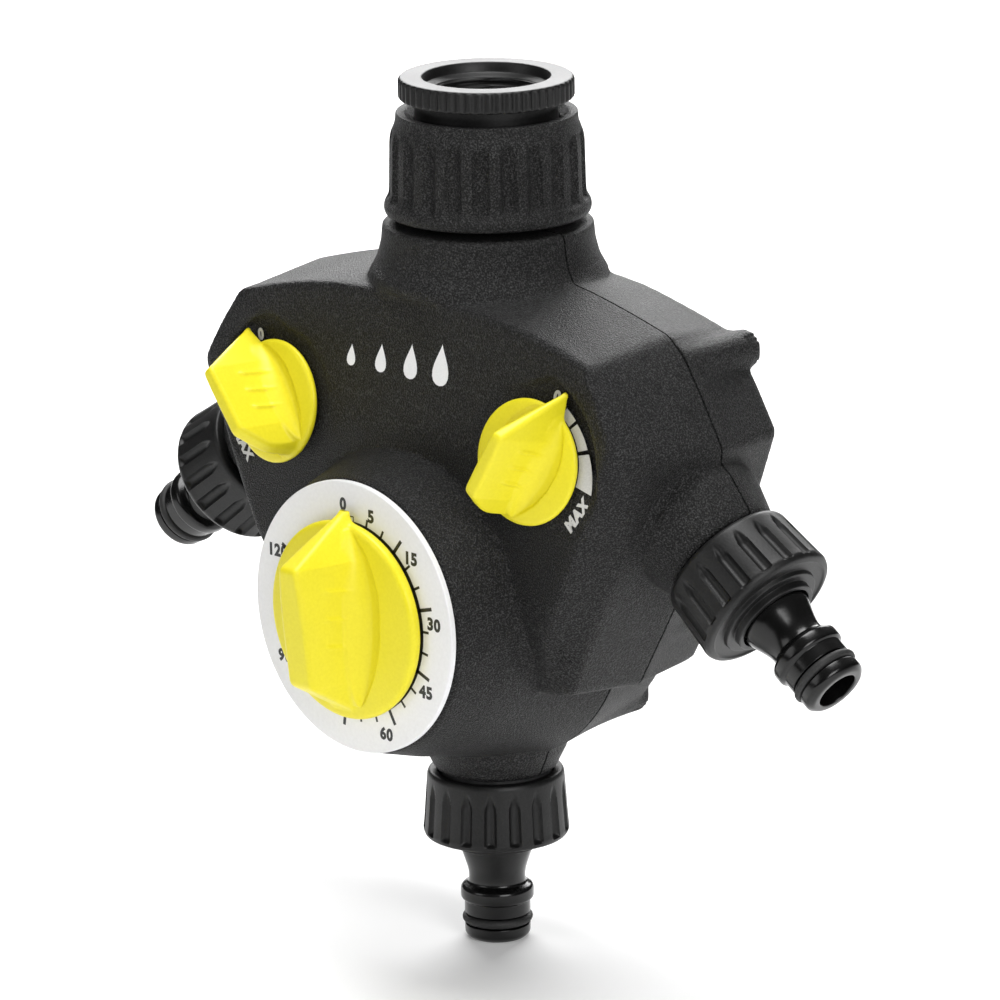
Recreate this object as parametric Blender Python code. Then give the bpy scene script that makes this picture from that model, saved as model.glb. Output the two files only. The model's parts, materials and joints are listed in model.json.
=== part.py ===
"""Drip irrigation timer: a tap-mounted water distributor with a clockwork outlet and two side outlets.

Units are metres, +Z up, the dial faces -Y. The origin is on the inlet's axis, at the top face
where the adapter seals against the tap. The housing splits on the plane y = 0, which holds the axes
of the inlet and of all three outlets.
"""

from math import cos, pi, radians, sin, tan

import bmesh
import bpy
from mathutils import Matrix, Vector

# ---------------------------------------------------------------- driving dimensions
FIT_GAP = 0.0003            # between pieces that touch on the real object
SEAM_GAP = 0.0003           # between the two housing shells
WALL = 0.0025               # housing wall
ROUND = 24                  # sides of a large round piece
SMALL_ROUND = 12            # sides of a small round piece
TINY_ROUND = 8              # sides of a screw hole, staff or pillar

# inlet group, heights measured down from the tap face
ADAPTER_FLANGE_R = 0.0200
ADAPTER_FLANGE_H = 0.0050
ADAPTER_THREAD_R = 0.0163   # G1 male
ADAPTER_BOTTOM = -0.0229
TAP_SOCKET_R = 0.0122       # G3/4 female
TAP_SOCKET_DEPTH = 0.0140
INLET_BORE_R = 0.0095
MOUTH_R = 0.0145
INLET_NUT_TOP = -0.0080
INLET_NUT_BOTTOM = -0.0315
INLET_NUT_RIM_R = 0.0207
INLET_NUT_R = 0.0221
INLET_NUT_FLANGE_R = 0.02367
INLET_NUT_RIBS = 22
NUT_LIP_TOP = -0.0283
SPIGOT_R = 0.0130
SPIGOT_FLANGE_R = 0.0158
SPIGOT_TOP = -0.0255

# housing
NECK_TOP = -0.0332
NECK_PROFILE = [(0.0240, NECK_TOP), (0.0245, -0.0383), (0.0254, -0.0415), (0.0272, -0.0445),
                (0.0272, -0.0470)]
FACE_Y = -0.0288            # front face
FACE_LEAN = radians(7.8)    # the front face leans back above FACE_LEAN_Z
FACE_LEAN_Z = -0.0743
FACE_FALL_Z = -0.1143       # below this the front face falls away to the chin
FACE_FALL = 0.42
CREASE_Y = -0.0205
REAR_Y = 0.0220
REAR_DRAFT = 0.0030
FACE_HALF = [(0.0, -0.0462), (0.027, -0.0474), (0.042, -0.0500), (0.0555, -0.0538), (0.0622, -0.0643),
             (0.0664, -0.0744), (0.0577, -0.0929), (0.0490, -0.1082), (0.0460, -0.1167),
             (0.0380, -0.1348)]
CREASE_HALF = [(0.0, -0.0454), (0.027, -0.0468), (0.042, -0.0496), (0.0558, -0.0535), (0.0636, -0.0640),
               (0.0698, -0.0738), (0.0635, -0.0910), (0.0580, -0.1060), (0.0540, -0.1150), (0.0440, -0.1330)]
SEAM_HALF = [(0.0, -0.0425), (0.027, -0.0439), (0.042, -0.0470), (0.0565, -0.0513), (0.0640, -0.0600),
             (0.0725, -0.0749), (0.0660, -0.0940), (0.0600, -0.1095), (0.0558, -0.1195), (0.0462, -0.1344)]
DIAL_Z = -0.1176
BOWL_PROFILE = [(0.0318, -0.0432), (0.0354, -0.0310), (0.0420, 0.0), (0.0390, 0.0200), (0.0360, 0.0250)]
SCREW_BOSS_R = 0.0045
SCREW_BOSS_END = 0.0245
COUNTERBORE_DEPTH = 0.0040
PILOT_BOSS_R = 0.0032
PILOT_BOSS_H = 0.0100
SCREW_PLACES = [(0.0575, -0.0583), (0.0478, -0.1195), (0.0220, -0.1460)]

# dial and timer knob
DIAL_R = 0.0315
DIAL_FRONT_Y = -0.0450
DIAL_THICK = 0.0015
TIMER_RIM_Y = -0.0486
TIMER_KNOB_R = 0.0233
TIMER_TRAVEL = radians(300)

# side knobs
SIDE_KNOB_X = 0.0405
SIDE_KNOB_Y = -0.0300
SIDE_KNOB_Z = -0.0771
SIDE_KNOB_R = 0.0147
SIDE_AXIS = Vector((0.07, -0.988, 0.135)).normalized()
RIGHT_POINTER = radians(26)     # clockwise from straight up, seen from the front
LEFT_POINTER = radians(-40)
POCKET_R = 0.0172
POCKET_LOBE_R = 0.0197
POCKET_DEPTH = 0.0040           # from the knob's rim plane to the pocket's floor
VALVE_DEPTH = 0.0260            # from the knob's rim plane to the ball's centre
BALL_R = 0.0062

# outlets
OUTLET_TILT = radians(35.6)     # below horizontal
SIDE_NUT_END = Vector((0.0862, 0.0, -0.1089))
BOTTOM_NUT_END = Vector((0.0, 0.0, -0.1794))
NIPPLE_OUT = 0.0249             # nipple tip beyond the nut's end
NUT_LENGTH = 0.0160
NUT_R = 0.0170
NUT_BODY_R = 0.0159
NUT_RIBS = 18
NUT_BOSS_R = 0.01015
NUT_BOSS_H = 0.0025
NUT_HOLE_R = 0.0088
STUB_R = 0.0131                 # G3/4 male
NIPPLE_BORE_R = 0.0048
COLLAR_BASE_R = 0.0168
COLLAR_END_R = 0.0140

# clockwork
PLATE_R = 0.0270
PILLAR_CIRCLE_R = 0.0235
FRONT_PLATE_Y = -0.0385
BACK_PLATE_Y = -0.0185
PLATE_THICK = 0.0012
ARBOR_R = 0.0015
STAFF_R = 0.0008
TOOTH_MODULE = 0.00055
WHEEL_TEETH, PINION_TEETH = 32, 8
ESCAPE_TEETH = 15
ESCAPE_R, ESCAPE_ROOT_R = 0.0062, 0.0048
WHEEL_THICK = 0.0012
CAM_LIFT = 0.0030
CAM_R = 0.0078
SPOOL_R = 0.0060
SPOOL_DROP = 0.0060             # the spool's axis is this far below the arbor

# ---------------------------------------------------------------- materials
FINISHES = {
    "housing_black": ((0.028, 0.028, 0.030), 0.62, 0.0),
    "nut_black": ((0.020, 0.020, 0.021), 0.45, 0.0),
    "gloss_black": ((0.012, 0.012, 0.013), 0.22, 0.0),
    "knob_yellow": ((0.91, 0.80, 0.02), 0.42, 0.0),
    "dial_white": ((0.90, 0.90, 0.90), 0.40, 0.0),
    "seal_rubber": ((0.015, 0.015, 0.015), 0.85, 0.0),
    "grey_plastic": ((0.32, 0.33, 0.34), 0.50, 0.0),
    "white_plastic": ((0.80, 0.80, 0.78), 0.45, 0.0),
    "brass": ((0.78, 0.57, 0.25), 0.30, 1.0),
    "steel": ((0.62, 0.62, 0.63), 0.28, 1.0),
}


def make_material(name):
    """A Principled material from the table of finishes."""
    colour, roughness, metallic = FINISHES[name]
    material = bpy.data.materials.new(name)
    material.use_nodes = True
    shader = material.node_tree.nodes["Principled BSDF"]
    shader.inputs["Base Color"].default_value = (*colour, 1.0)
    shader.inputs["Roughness"].default_value = roughness
    shader.inputs["Metallic"].default_value = metallic
    return material


# ---------------------------------------------------------------- modelling helpers
def basis(position, axis, turn_from=None):
    """Matrix that puts local Z on axis, and local X on turn_from where one is given."""
    z = Vector(axis).normalized()
    plain_hint = (1, 0, 0) if abs(z.x) < 0.9 else (0, 0, 1)
    hint = Vector(turn_from or plain_hint)
    x = (hint - z * hint.dot(z)).normalized()
    y = z.cross(x)
    return Matrix.Translation(position) @ Matrix((x, y, z)).transposed().to_4x4()


def make_object(name, bm, finish, matrix=Matrix.Identity(4)):
    """Closes a bmesh into a named object with its own material, faces pointing out."""
    bmesh.ops.remove_doubles(bm, verts=bm.verts, dist=1e-6)
    bmesh.ops.dissolve_degenerate(bm, edges=bm.edges, dist=1e-7)
    bmesh.ops.recalc_face_normals(bm, faces=bm.faces)
    mesh = bpy.data.meshes.new(name)
    bm.to_mesh(mesh)
    bm.free()
    mesh.shade_smooth()
    mesh.set_sharp_from_angle(angle=radians(30))
    mesh.materials.append(bpy.data.materials.get(finish) or make_material(finish))
    obj = bpy.data.objects.new(name, mesh)
    obj.matrix_world = matrix
    bpy.context.scene.collection.objects.link(obj)
    return obj


def spun(name, profile, finish, matrix=Matrix.Identity(4), sides=ROUND):
    """Turns a closed (radius, height) outline about local Z."""
    bm = bmesh.new()
    verts = [bm.verts.new((r, 0, z)) for r, z in profile]
    edges = [bm.edges.new((verts[i], verts[(i + 1) % len(verts)])) for i in range(len(verts))]
    edges = [e for e in edges if max(abs(v.co.x) for v in e.verts) > 0]
    bmesh.ops.spin(bm, geom=verts + edges, axis=(0, 0, 1), cent=(0, 0, 0), angle=2 * pi, steps=sides,
                   use_merge=True)
    loose = [e for e in bm.edges if not e.link_faces]
    bmesh.ops.delete(bm, geom=loose, context="EDGES")
    return make_object(name, bm, finish, matrix)


def disc(name, radius, low, high, finish, matrix=Matrix.Identity(4), sides=ROUND):
    """A plain solid cylinder along local Z."""
    return spun(name, [(0, low), (radius, low), (radius, high), (0, high)], finish, matrix, sides)


def ring(name, inner, outer, low, high, finish, matrix=Matrix.Identity(4), sides=ROUND):
    """A plain tube along local Z."""
    return spun(name, [(inner, low), (outer, low), (outer, high), (inner, high)], finish, matrix, sides)


def lofted(name, loops, finish, matrix=Matrix.Identity(4)):
    """Joins equal closed loops of points in order, and caps the ends."""
    bm = bmesh.new()
    rows = [[bm.verts.new(p) for p in loop] for loop in loops]
    count = len(rows[0])
    for low, high in zip(rows, rows[1:]):
        for i in range(count):
            j = (i + 1) % count
            bm.faces.new((low[i], low[j], high[j], high[i]))
    bm.faces.new(rows[0])
    bm.faces.new(rows[-1])
    bmesh.ops.triangulate(bm, faces=bm.faces)
    return make_object(name, bm, finish, matrix)


def prism(name, outline, low, high, finish, matrix=Matrix.Identity(4)):
    """Extrudes a flat outline along local Z."""
    loops = [[(x, y, z) for x, y in outline] for z in (low, high)]
    return lofted(name, loops, finish, matrix)


def toothed(name, teeth, low, high, finish, matrix):
    """Extrudes a wheel given as one short outline for each tooth; its flat sides fan out from the centre."""
    bm = bmesh.new()
    rims = []
    for z in (low, high):
        centre = bm.verts.new((0, 0, z))
        rim = [[bm.verts.new((x, y, z)) for x, y in tooth] for tooth in teeth]
        for i, tooth in enumerate(rim):
            bm.faces.new(tooth)
            bm.faces.new((centre, tooth[0], tooth[-1]))
            bm.faces.new((centre, tooth[-1], rim[(i + 1) % len(rim)][0]))
        rims.append([vert for tooth in rim for vert in tooth])
    count = len(rims[0])
    for i in range(count):
        j = (i + 1) % count
        bm.faces.new((rims[0][i], rims[0][j], rims[1][j], rims[1][i]))
    bmesh.ops.triangulate(bm, faces=bm.faces)
    return make_object(name, bm, finish, matrix)


def combine(obj, others, operation, solver):
    """Applies one Boolean for each other object, and removes those objects."""
    for other in others:
        modifier = obj.modifiers.new(other.name, "BOOLEAN")
        modifier.operation = operation
        modifier.solver = solver
        modifier.object = other
    bpy.context.view_layer.update()
    graph = bpy.context.evaluated_depsgraph_get()
    mesh = bpy.data.meshes.new_from_object(obj.evaluated_get(graph))
    obj.modifiers.clear()
    obj.data = mesh
    for other in others:
        bpy.data.objects.remove(other)
    return obj


def add(obj, *others, solver="EXACT"):
    return combine(obj, others, "UNION", solver)


def cut(obj, *others, solver="EXACT"):
    return combine(obj, others, "DIFFERENCE", solver)


def ribbed(radius, depth, ribs):
    """Outline of a round grip whose ribs and grooves alternate."""
    points = []
    for i in range(2 * ribs):
        angle = pi * i / ribs
        r = radius - depth * (i % 2)
        points.append((r * cos(angle), r * sin(angle)))
    return points


# ---------------------------------------------------------------- housing
def face_y(z):
    """The front face's depth at height z."""
    if z > FACE_LEAN_Z:
        return FACE_Y + (z - FACE_LEAN_Z) * tan(FACE_LEAN)
    if z < FACE_FALL_Z:
        return FACE_Y + (FACE_FALL_Z - z) * FACE_FALL
    return FACE_Y


def inset_half(points, amount):
    """Moves a half outline inwards by amount, each point along the mean normal of its two sides."""
    result = []
    for i, (x, z) in enumerate(points):
        ax, az = points[max(i - 1, 0)]
        bx, bz = points[min(i + 1, len(points) - 1)]
        tangent = Vector((bx - ax, bz - az)).normalized()
        inward = Vector((tangent.y, -tangent.x))
        result.append((x + inward.x * amount if i else 0.0, z + inward.y * amount))
    return result


def half_row(half, depth):
    """The right half of a section, from the top of the centre line to its bottom."""
    low = min(z for _, z in half)
    return [(x, depth(z), z) for x, z in half] + [(0.0, depth(low), low)]


def mirrored_form(name, rows):
    """Joins right-hand sections in order, caps them in level strips, and mirrors the result."""
    bm = bmesh.new()
    right = [[bm.verts.new(p) for p in row] for row in rows]
    for low, high in zip(right, right[1:]):
        for i in range(len(low) - 1):
            bm.faces.new((low[i], low[i + 1], high[i + 1]))
            bm.faces.new((low[i], high[i + 1], high[i]))
    for row in (right[0], right[-1]):
        centre = [v if v.co.x == 0 else bm.verts.new((0, v.co.y, v.co.z)) for v in row]
        for i in range(len(row) - 1):
            corners = dict.fromkeys((row[i], row[i + 1], centre[i + 1], centre[i]))
            bm.faces.new(list(corners))
    geometry = bm.verts[:] + bm.edges[:] + bm.faces[:]
    bmesh.ops.mirror(bm, geom=geometry, axis="X", merge_dist=1e-6)
    return make_object(name, bm, "housing_black")


def housing_body(name, inset):
    """The whole outer form, or the hollow inside it when inset is the wall."""
    rear = inset_half(SEAM_HALF, REAR_DRAFT)
    rows = [
        half_row(inset_half(FACE_HALF, inset), lambda z: face_y(z) + inset),
        half_row(inset_half(CREASE_HALF, inset), lambda z: max(CREASE_Y, face_y(z) + 0.0008 + inset)),
        half_row(inset_half(SEAM_HALF, inset), lambda z: 0.0),
        half_row(inset_half(rear, inset), lambda z: REAR_Y - inset),
    ]
    body = mirrored_form(name, rows)
    axis = basis((0, 0, DIAL_Z), (0, 1, 0), (1, 0, 0))
    first, last = BOWL_PROFILE[0][1] + inset, BOWL_PROFILE[-1][1] - inset
    bowl_side = [(r - inset, y) for r, y in BOWL_PROFILE[1:-1]]
    bowl = [(0, first), (BOWL_PROFILE[0][0] - inset, first), *bowl_side,
            (BOWL_PROFILE[-1][0] - inset, last), (0, last)]
    neck = [(0, NECK_TOP - inset), *[(r - inset, z - inset if z == NECK_TOP else z) for r, z in NECK_PROFILE],
            (0, NECK_PROFILE[-1][1])]
    pieces = [spun("bowl", bowl, "housing_black", axis), spun("neck", neck, "housing_black")]
    return add(body, *pieces, solver="MANIFOLD")


def outlet_frame(nut_end, direction):
    """Local Z runs from the nut's outer end back into the housing."""
    return basis(nut_end, -direction, (0, 1, 0))


def side_direction(side):
    return Vector((side * cos(OUTLET_TILT), 0, -sin(OUTLET_TILT)))


def outlet_frames():
    """Name and frame of each outlet."""
    frames = {"bottom": outlet_frame(BOTTOM_NUT_END, Vector((0, 0, -1)))}
    for name, side in (("left", -1), ("right", 1)):
        end = Vector((side * SIDE_NUT_END.x, 0, SIDE_NUT_END.z))
        frames[name] = outlet_frame(end, side_direction(side))
    return frames


def side_axis(side):
    """Outward axis of a side knob."""
    return Vector((side * SIDE_AXIS.x, SIDE_AXIS.y, SIDE_AXIS.z))


def side_frame(side, turn=0.0):
    """Local Z points out of the knob, local X is turned from straight up by turn, clockwise."""
    centre = Vector((side * SIDE_KNOB_X, SIDE_KNOB_Y, SIDE_KNOB_Z))
    up = Vector((sin(turn), 0, cos(turn)))
    return basis(centre, side_axis(side), up)


def screw_frames():
    for number, (x, z) in enumerate(SCREW_PLACES):
        for side, word in ((-1, "left"), (1, "right")):
            label = ("upper", "middle", "lower")[number]
            yield f"{word}_{label}", basis((side * x, 0, z), (0, 1, 0), (1, 0, 0))


def make_housing():
    """Front and rear shells, cut from one hollow form."""
    for name, sign in (("front_shell", -1), ("rear_shell", 1)):
        shell = housing_body(name, 0.0)
        collars = []
        for place, frame in outlet_frames().items():
            reach = NUT_LENGTH + 0.0012
            base = reach + (0.0050 if place == "bottom" else 0.0090)
            profile = [(0, reach), (COLLAR_END_R, reach), (COLLAR_BASE_R, base), (COLLAR_BASE_R, base + 0.008),
                       (0, base + 0.008)]
            collars.append(spun("collar", profile, "housing_black", frame))
        add(shell, *collars, solver="MANIFOLD")
        cut(shell, housing_body("hollow", WALL), solver="MANIFOLD")
        pads = []
        for _, frame in screw_frames():
            radius, low, high = (PILOT_BOSS_R, -PILOT_BOSS_H, -0.0002) if sign < 0 else (
                SCREW_BOSS_R, 0.0002, SCREW_BOSS_END)
            pads.append(disc("boss", radius, low, high, "housing_black", frame, SMALL_ROUND))
        if sign < 0:
            for side in (-1, 1):
                pads.append(disc("pad", POCKET_LOBE_R + 0.0012, -POCKET_DEPTH - WALL, -0.0030,
                                 "housing_black", side_frame(side)))
        add(shell, *pads, solver="MANIFOLD")
        holes = [disc("neck_hole", SPIGOT_R + FIT_GAP, NECK_TOP - 0.02, NECK_TOP + 0.02, "housing_black")]
        for frame in outlet_frames().values():
            holes.append(disc("stub_hole", STUB_R + 0.0006, 0.0, 0.048, "housing_black", frame, 20))
        if sign < 0:
            for side in (-1, 1):
                frame = side_frame(side)
                holes.append(disc("pocket", POCKET_LOBE_R, -POCKET_DEPTH, 0.02, "housing_black", frame))
                holes.append(disc("spindle_hole", 0.0046, -0.02, 0.0, "housing_black", frame, SMALL_ROUND))
            dial = basis((0, 0, DIAL_Z), (0, 1, 0), (1, 0, 0))
            holes.append(disc("arbor_hole", 0.0060, -0.06, -0.03, "housing_black", dial, SMALL_ROUND))
            for _, frame in screw_frames():
                holes.append(disc("pilot", 0.0015, -0.0080, 0.01, "housing_black", frame, TINY_ROUND))
        else:
            for _, frame in screw_frames():
                holes.append(disc("clearance", 0.0019, -0.01, 0.04, "housing_black", frame, TINY_ROUND))
                holes.append(disc("counterbore", 0.0034, SCREW_BOSS_END - COUNTERBORE_DEPTH, 0.04,
                                  "housing_black", frame, SMALL_ROUND))
        cut(shell, *holes, solver="MANIFOLD")
        half = bmesh.new()
        bmesh.ops.create_cube(half, size=1.0)
        bmesh.ops.scale(half, verts=half.verts, vec=(0.4, 0.2, 0.4))
        bmesh.ops.translate(half, verts=half.verts, vec=(0, -sign * (0.1 - SEAM_GAP / 2), -0.1))
        cut(shell, make_object("half", half, "housing_black"), solver="MANIFOLD")


def make_screws():
    """Six self-tapping screws from the rear."""
    head_low = SCREW_BOSS_END - COUNTERBORE_DEPTH + FIT_GAP
    for name, frame in screw_frames():
        spun(f"screw_{name}", [(0, -0.0075), (0.0007, -0.0075), (0.0012, -0.0060), (0.0012, head_low),
                               (0.0030, head_low), (0.0028, head_low + 0.0018), (0, head_low + 0.0021)],
             "steel", frame, TINY_ROUND)


# ---------------------------------------------------------------- inlet
def make_inlet():
    """Adapter, swivel nut, two washers and the strainer."""
    bottom_of_flange = -ADAPTER_FLANGE_H
    spun("inlet_adapter", [
        (INLET_BORE_R, ADAPTER_BOTTOM), (ADAPTER_THREAD_R, ADAPTER_BOTTOM), (ADAPTER_THREAD_R, bottom_of_flange),
        (ADAPTER_FLANGE_R - 0.0006, bottom_of_flange), (ADAPTER_FLANGE_R, bottom_of_flange + 0.0006),
        (ADAPTER_FLANGE_R, -0.0006), (ADAPTER_FLANGE_R - 0.0006, 0.0), (MOUTH_R, 0.0), (MOUTH_R, -0.0010),
        (TAP_SOCKET_R, -0.0026), (TAP_SOCKET_R, -TAP_SOCKET_DEPTH), (INLET_BORE_R, -TAP_SOCKET_DEPTH)], "nut_black")
    washer_low = -TAP_SOCKET_DEPTH + FIT_GAP
    ring("adapter_washer", INLET_BORE_R + 0.0004, TAP_SOCKET_R - 0.0004, washer_low, washer_low + 0.0018,
         "seal_rubber")
    ring("inlet_washer", INLET_BORE_R + 0.0010, SPIGOT_FLANGE_R - 0.0006, SPIGOT_TOP + FIT_GAP,
         ADAPTER_BOTTOM - FIT_GAP, "seal_rubber")
    levels = [(INLET_NUT_BOTTOM, INLET_NUT_FLANGE_R, 0.0002),
              (INLET_NUT_BOTTOM + 0.0014, INLET_NUT_FLANGE_R, 0.0002),
              (-0.0271, INLET_NUT_R, 0.0013), (-0.0125, INLET_NUT_R, 0.0013), (INLET_NUT_TOP, INLET_NUT_RIM_R, 0.0002)]
    loops = []
    for z, radius, depth in levels:
        loops.append([(x, y, z) for x, y in ribbed(radius, depth, INLET_NUT_RIBS)])
    nut = lofted("inlet_nut", loops, "housing_black")
    cut(nut, disc("thread", ADAPTER_THREAD_R + 0.0004, NUT_LIP_TOP, 0.01, "nut_black"),
        disc("lip", SPIGOT_R + 0.0006, -0.05, 0.01, "nut_black"))
    strainer_top = washer_low + 0.0018 + FIT_GAP
    spun("inlet_strainer", [(0.0073, strainer_top), (0.0056, -0.0330), (0.0, -0.0330), (0.0, -0.0322),
                            (0.0050, -0.0322), (0.0065, strainer_top + 0.0008), (0.0116, strainer_top + 0.0008),
                            (0.0116, strainer_top)][::-1], "steel", sides=SMALL_ROUND)


# ---------------------------------------------------------------- outlets
def make_outlets():
    """A coupling nut, nipple, flat washer and O-ring for each outlet."""
    end_wall = 0.0030
    flange_low, flange_high = end_wall + FIT_GAP, end_wall + 0.0025
    tip = -NIPPLE_OUT
    for place, frame in outlet_frames().items():
        loops = []
        for z, radius, depth in ((0.0, NUT_R - 0.0012, 0.0002), (0.0016, NUT_R, 0.0012),
                                 (NUT_LENGTH, NUT_BODY_R, 0.0008)):
            loops.append([(x, y, z) for x, y in ribbed(radius, depth, NUT_RIBS)])
        nut = lofted(f"{place}_outlet_nut", loops, "nut_black", frame)
        add(nut, disc("boss", NUT_BOSS_R, -NUT_BOSS_H, 0.001, "nut_black", frame, 16))
        cut(nut, disc("thread", STUB_R + 0.0006, end_wall, 0.03, "nut_black", frame, 16),
            disc("hole", NUT_HOLE_R + 0.0001, -0.01, 0.03, "nut_black", frame, 16))
        spun(f"{place}_nipple", [
            (NIPPLE_BORE_R, tip), (0.0066, tip), (0.00765, tip + 0.0012), (0.00765, tip + 0.0033),
            (0.0064, tip + 0.0033), (0.0064, tip + 0.0060), (0.00765, tip + 0.0060), (0.00765, tip + 0.0092),
            (0.0085, tip + 0.0096), (0.0085, tip + 0.0124), (0.0069, tip + 0.0130), (0.0069, tip + 0.0185),
            (0.0085, tip + 0.0224), (0.0085, flange_low), (0.0126, flange_low), (0.0126, flange_high),
            (NIPPLE_BORE_R, flange_high)], "gloss_black", frame, 16)
        spun(f"{place}_nipple_o_ring", [(0.0067, tip + 0.0036), (0.0080, tip + 0.0036), (0.0082, tip + 0.0046),
                                        (0.0080, tip + 0.0057), (0.0067, tip + 0.0057)], "seal_rubber", frame, 16)
        ring(f"{place}_outlet_washer", 0.0052, 0.0124, flange_high + FIT_GAP, flange_high + 0.0022, "seal_rubber",
             frame, 16)


# ---------------------------------------------------------------- knobs
def make_knob(name, frame, radius, rim_back, tip, peak, tail, tail_base, half_top, half_base, hub):
    """A turned disc with a raised blade; local Z points out of the face, local X to the pointer.

    tip, peak and tail are (along, height) points of the blade's outline, measured from the rim plane.
    """
    crown = radius * 0.10
    knob = spun(name, [(0, -rim_back), (radius, -rim_back), (radius, -0.0004), (radius - 0.0006, 0.0),
                       (radius * 0.72, crown * 0.55), (radius * 0.4, crown), (0, crown)], "knob_yellow", frame)
    low = -rim_back * 0.5
    side = [(tip, low), (tip, 0.0012), peak, tail, (tail_base, low)]
    bm = bmesh.new()
    rows = []
    for sign in (-1, 1):
        row = []
        for x, z in side:
            share = min(max((z - low) / (peak[1] - low), 0.0), 1.0)
            half = half_base + (half_top - half_base) * share
            if x == tip:
                half = half_top * 0.35
            row.append(bm.verts.new((x, sign * half, z)))
        rows.append(row)
    left, right = rows
    count = len(left)
    for i in range(count):
        j = (i + 1) % count
        bm.faces.new((left[i], left[j], right[j], right[i]))
    bm.faces.new(left)
    bm.faces.new(right[::-1])
    bmesh.ops.triangulate(bm, faces=bm.faces)
    add(knob, make_object("blade", bm, "knob_yellow", frame))
    hub_r, hub_low = hub
    return add(knob, disc("hub", hub_r, -hub_low, -rim_back + 0.0005, "knob_yellow", frame, SMALL_ROUND))


def make_knobs():
    """The timer knob and the two flow knobs."""
    timer = basis((0, TIMER_RIM_Y, DIAL_Z), (0, -1, 0), (0, 0, 1))
    knob = make_knob("timer_knob", timer, TIMER_KNOB_R, 0.0029, 0.0259, (0.0153, 0.0169), (-0.0128, 0.0133),
                     -0.0205, 0.0037, 0.0062, (0.0048, 0.0080))
    cut(knob, disc("socket", ARBOR_R + FIT_GAP, -0.010, 0.0005, "knob_yellow", timer, SMALL_ROUND))
    for name, side, turn in (("left_knob", -1, LEFT_POINTER), ("right_knob", 1, RIGHT_POINTER)):
        frame = side_frame(side, turn)
        knob = make_knob(name, frame, SIDE_KNOB_R, 0.0034, 0.0190, (0.0095, 0.0150), (-0.0085, 0.0125),
                         -0.0134, 0.0022, 0.0040, (0.0038, 0.0060))
        cut(knob, disc("socket", 0.0020 + FIT_GAP, -0.010, -0.0002, "knob_yellow", frame, SMALL_ROUND))


def make_dial():
    """White scale plate on the nose of the housing."""
    frame = basis((0, 0, DIAL_Z), (0, 1, 0), (1, 0, 0))
    ring("dial_plate", 0.0056, DIAL_R, DIAL_FRONT_Y, DIAL_FRONT_Y + DIAL_THICK, "dial_white", frame, 48)


# ---------------------------------------------------------------- water path
def tube_between(name, start, end, radius, sides=SMALL_ROUND):
    direction = end - start
    return disc(name, radius, 0.0, direction.length, "grey_plastic", basis(start, direction), sides)


def valve_centre(side):
    centre = Vector((side * SIDE_KNOB_X, SIDE_KNOB_Y, SIDE_KNOB_Z))
    return centre - side_axis(side) * VALVE_DEPTH


def stub_ends(frame):
    """Where a threaded stub starts inside its nut, and where it meets the pipe."""
    return frame @ Vector((0, 0, 0.0080)), frame @ Vector((0, 0, 0.0290))


def make_manifold():
    """One moulding: inlet spigot, two ball chambers, the spool chamber and three threaded stubs."""
    trunk_low = DIAL_Z - SPOOL_DROP
    solid = [disc("trunk", 0.0110, -0.1000, -0.0340, "grey_plastic", sides=20),
             disc("flange", SPIGOT_FLANGE_R, SPIGOT_TOP - 0.0025, SPIGOT_TOP, "grey_plastic", sides=20)]
    hollow = [disc("inlet_way", 0.0100, -0.0450, 0.0, "grey_plastic", sides=20),
              disc("trunk_way", 0.0085, -0.0970, -0.0300, "grey_plastic", sides=20)]
    frames = outlet_frames()
    for place, side in (("left", -1), ("right", 1)):
        ball = valve_centre(side)
        frame = frames[place]
        stub_end, stub_base = stub_ends(frame)
        past_base = frame @ Vector((0, 0, 0.0275))
        trunk = Vector((0, 0, ball.z))
        solid.append(tube_between("branch", trunk, ball, 0.0066))
        hollow.append(tube_between("branch_way", trunk, ball, 0.0042))
        solid.append(tube_between("run", ball, past_base, 0.0066))
        hollow.append(tube_between("run_way", ball, frame @ Vector((0, 0, 0.0240)), 0.0042))
        solid.append(tube_between("stub", stub_end, stub_base, STUB_R, 16))
        hollow.append(tube_between("stub_way", frame @ Vector((0, 0, 0.0070)), frame @ Vector((0, 0, 0.0262)),
                                   0.0054))
        valve = side_frame(side)
        solid.append(disc("chamber", 0.0098, -VALVE_DEPTH - 0.0095, -VALVE_DEPTH + 0.0110, "grey_plastic",
                          valve, 20))
        hollow.append(disc("chamber_way", 0.0072, -VALVE_DEPTH - 0.0072, 0.0, "grey_plastic", valve, 20))
    frame = frames["bottom"]
    stub_end, stub_base = stub_ends(frame)
    solid.append(tube_between("stub", stub_end, stub_base, STUB_R, 16))
    solid.append(tube_between("drop", frame @ Vector((0, 0, 0.0275)), Vector((0, 0, -0.0990)), 0.0078))
    hollow.append(tube_between("lower_way", frame @ Vector((0, 0, 0.0070)), Vector((0, 0, trunk_low)), 0.0052))
    hollow.append(tube_between("upper_way", Vector((0, 0.0042, trunk_low)), Vector((0, 0.0042, -0.0960)), 0.0022))
    across = basis((0, 0, trunk_low), (0, 1, 0), (1, 0, 0))
    solid.append(disc("spool_body", 0.0088, -0.0084, 0.0170, "grey_plastic", across, 20))
    hollow.append(disc("spool_way", SPOOL_R + FIT_GAP, -0.0110, 0.0180, "grey_plastic", across, SMALL_ROUND))
    manifold = disc("manifold", SPIGOT_R, -0.0480, SPIGOT_TOP - 0.0010, "grey_plastic", sides=20)
    add(manifold, *solid, solver="MANIFOLD")
    cut(manifold, *hollow, solver="MANIFOLD")


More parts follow.
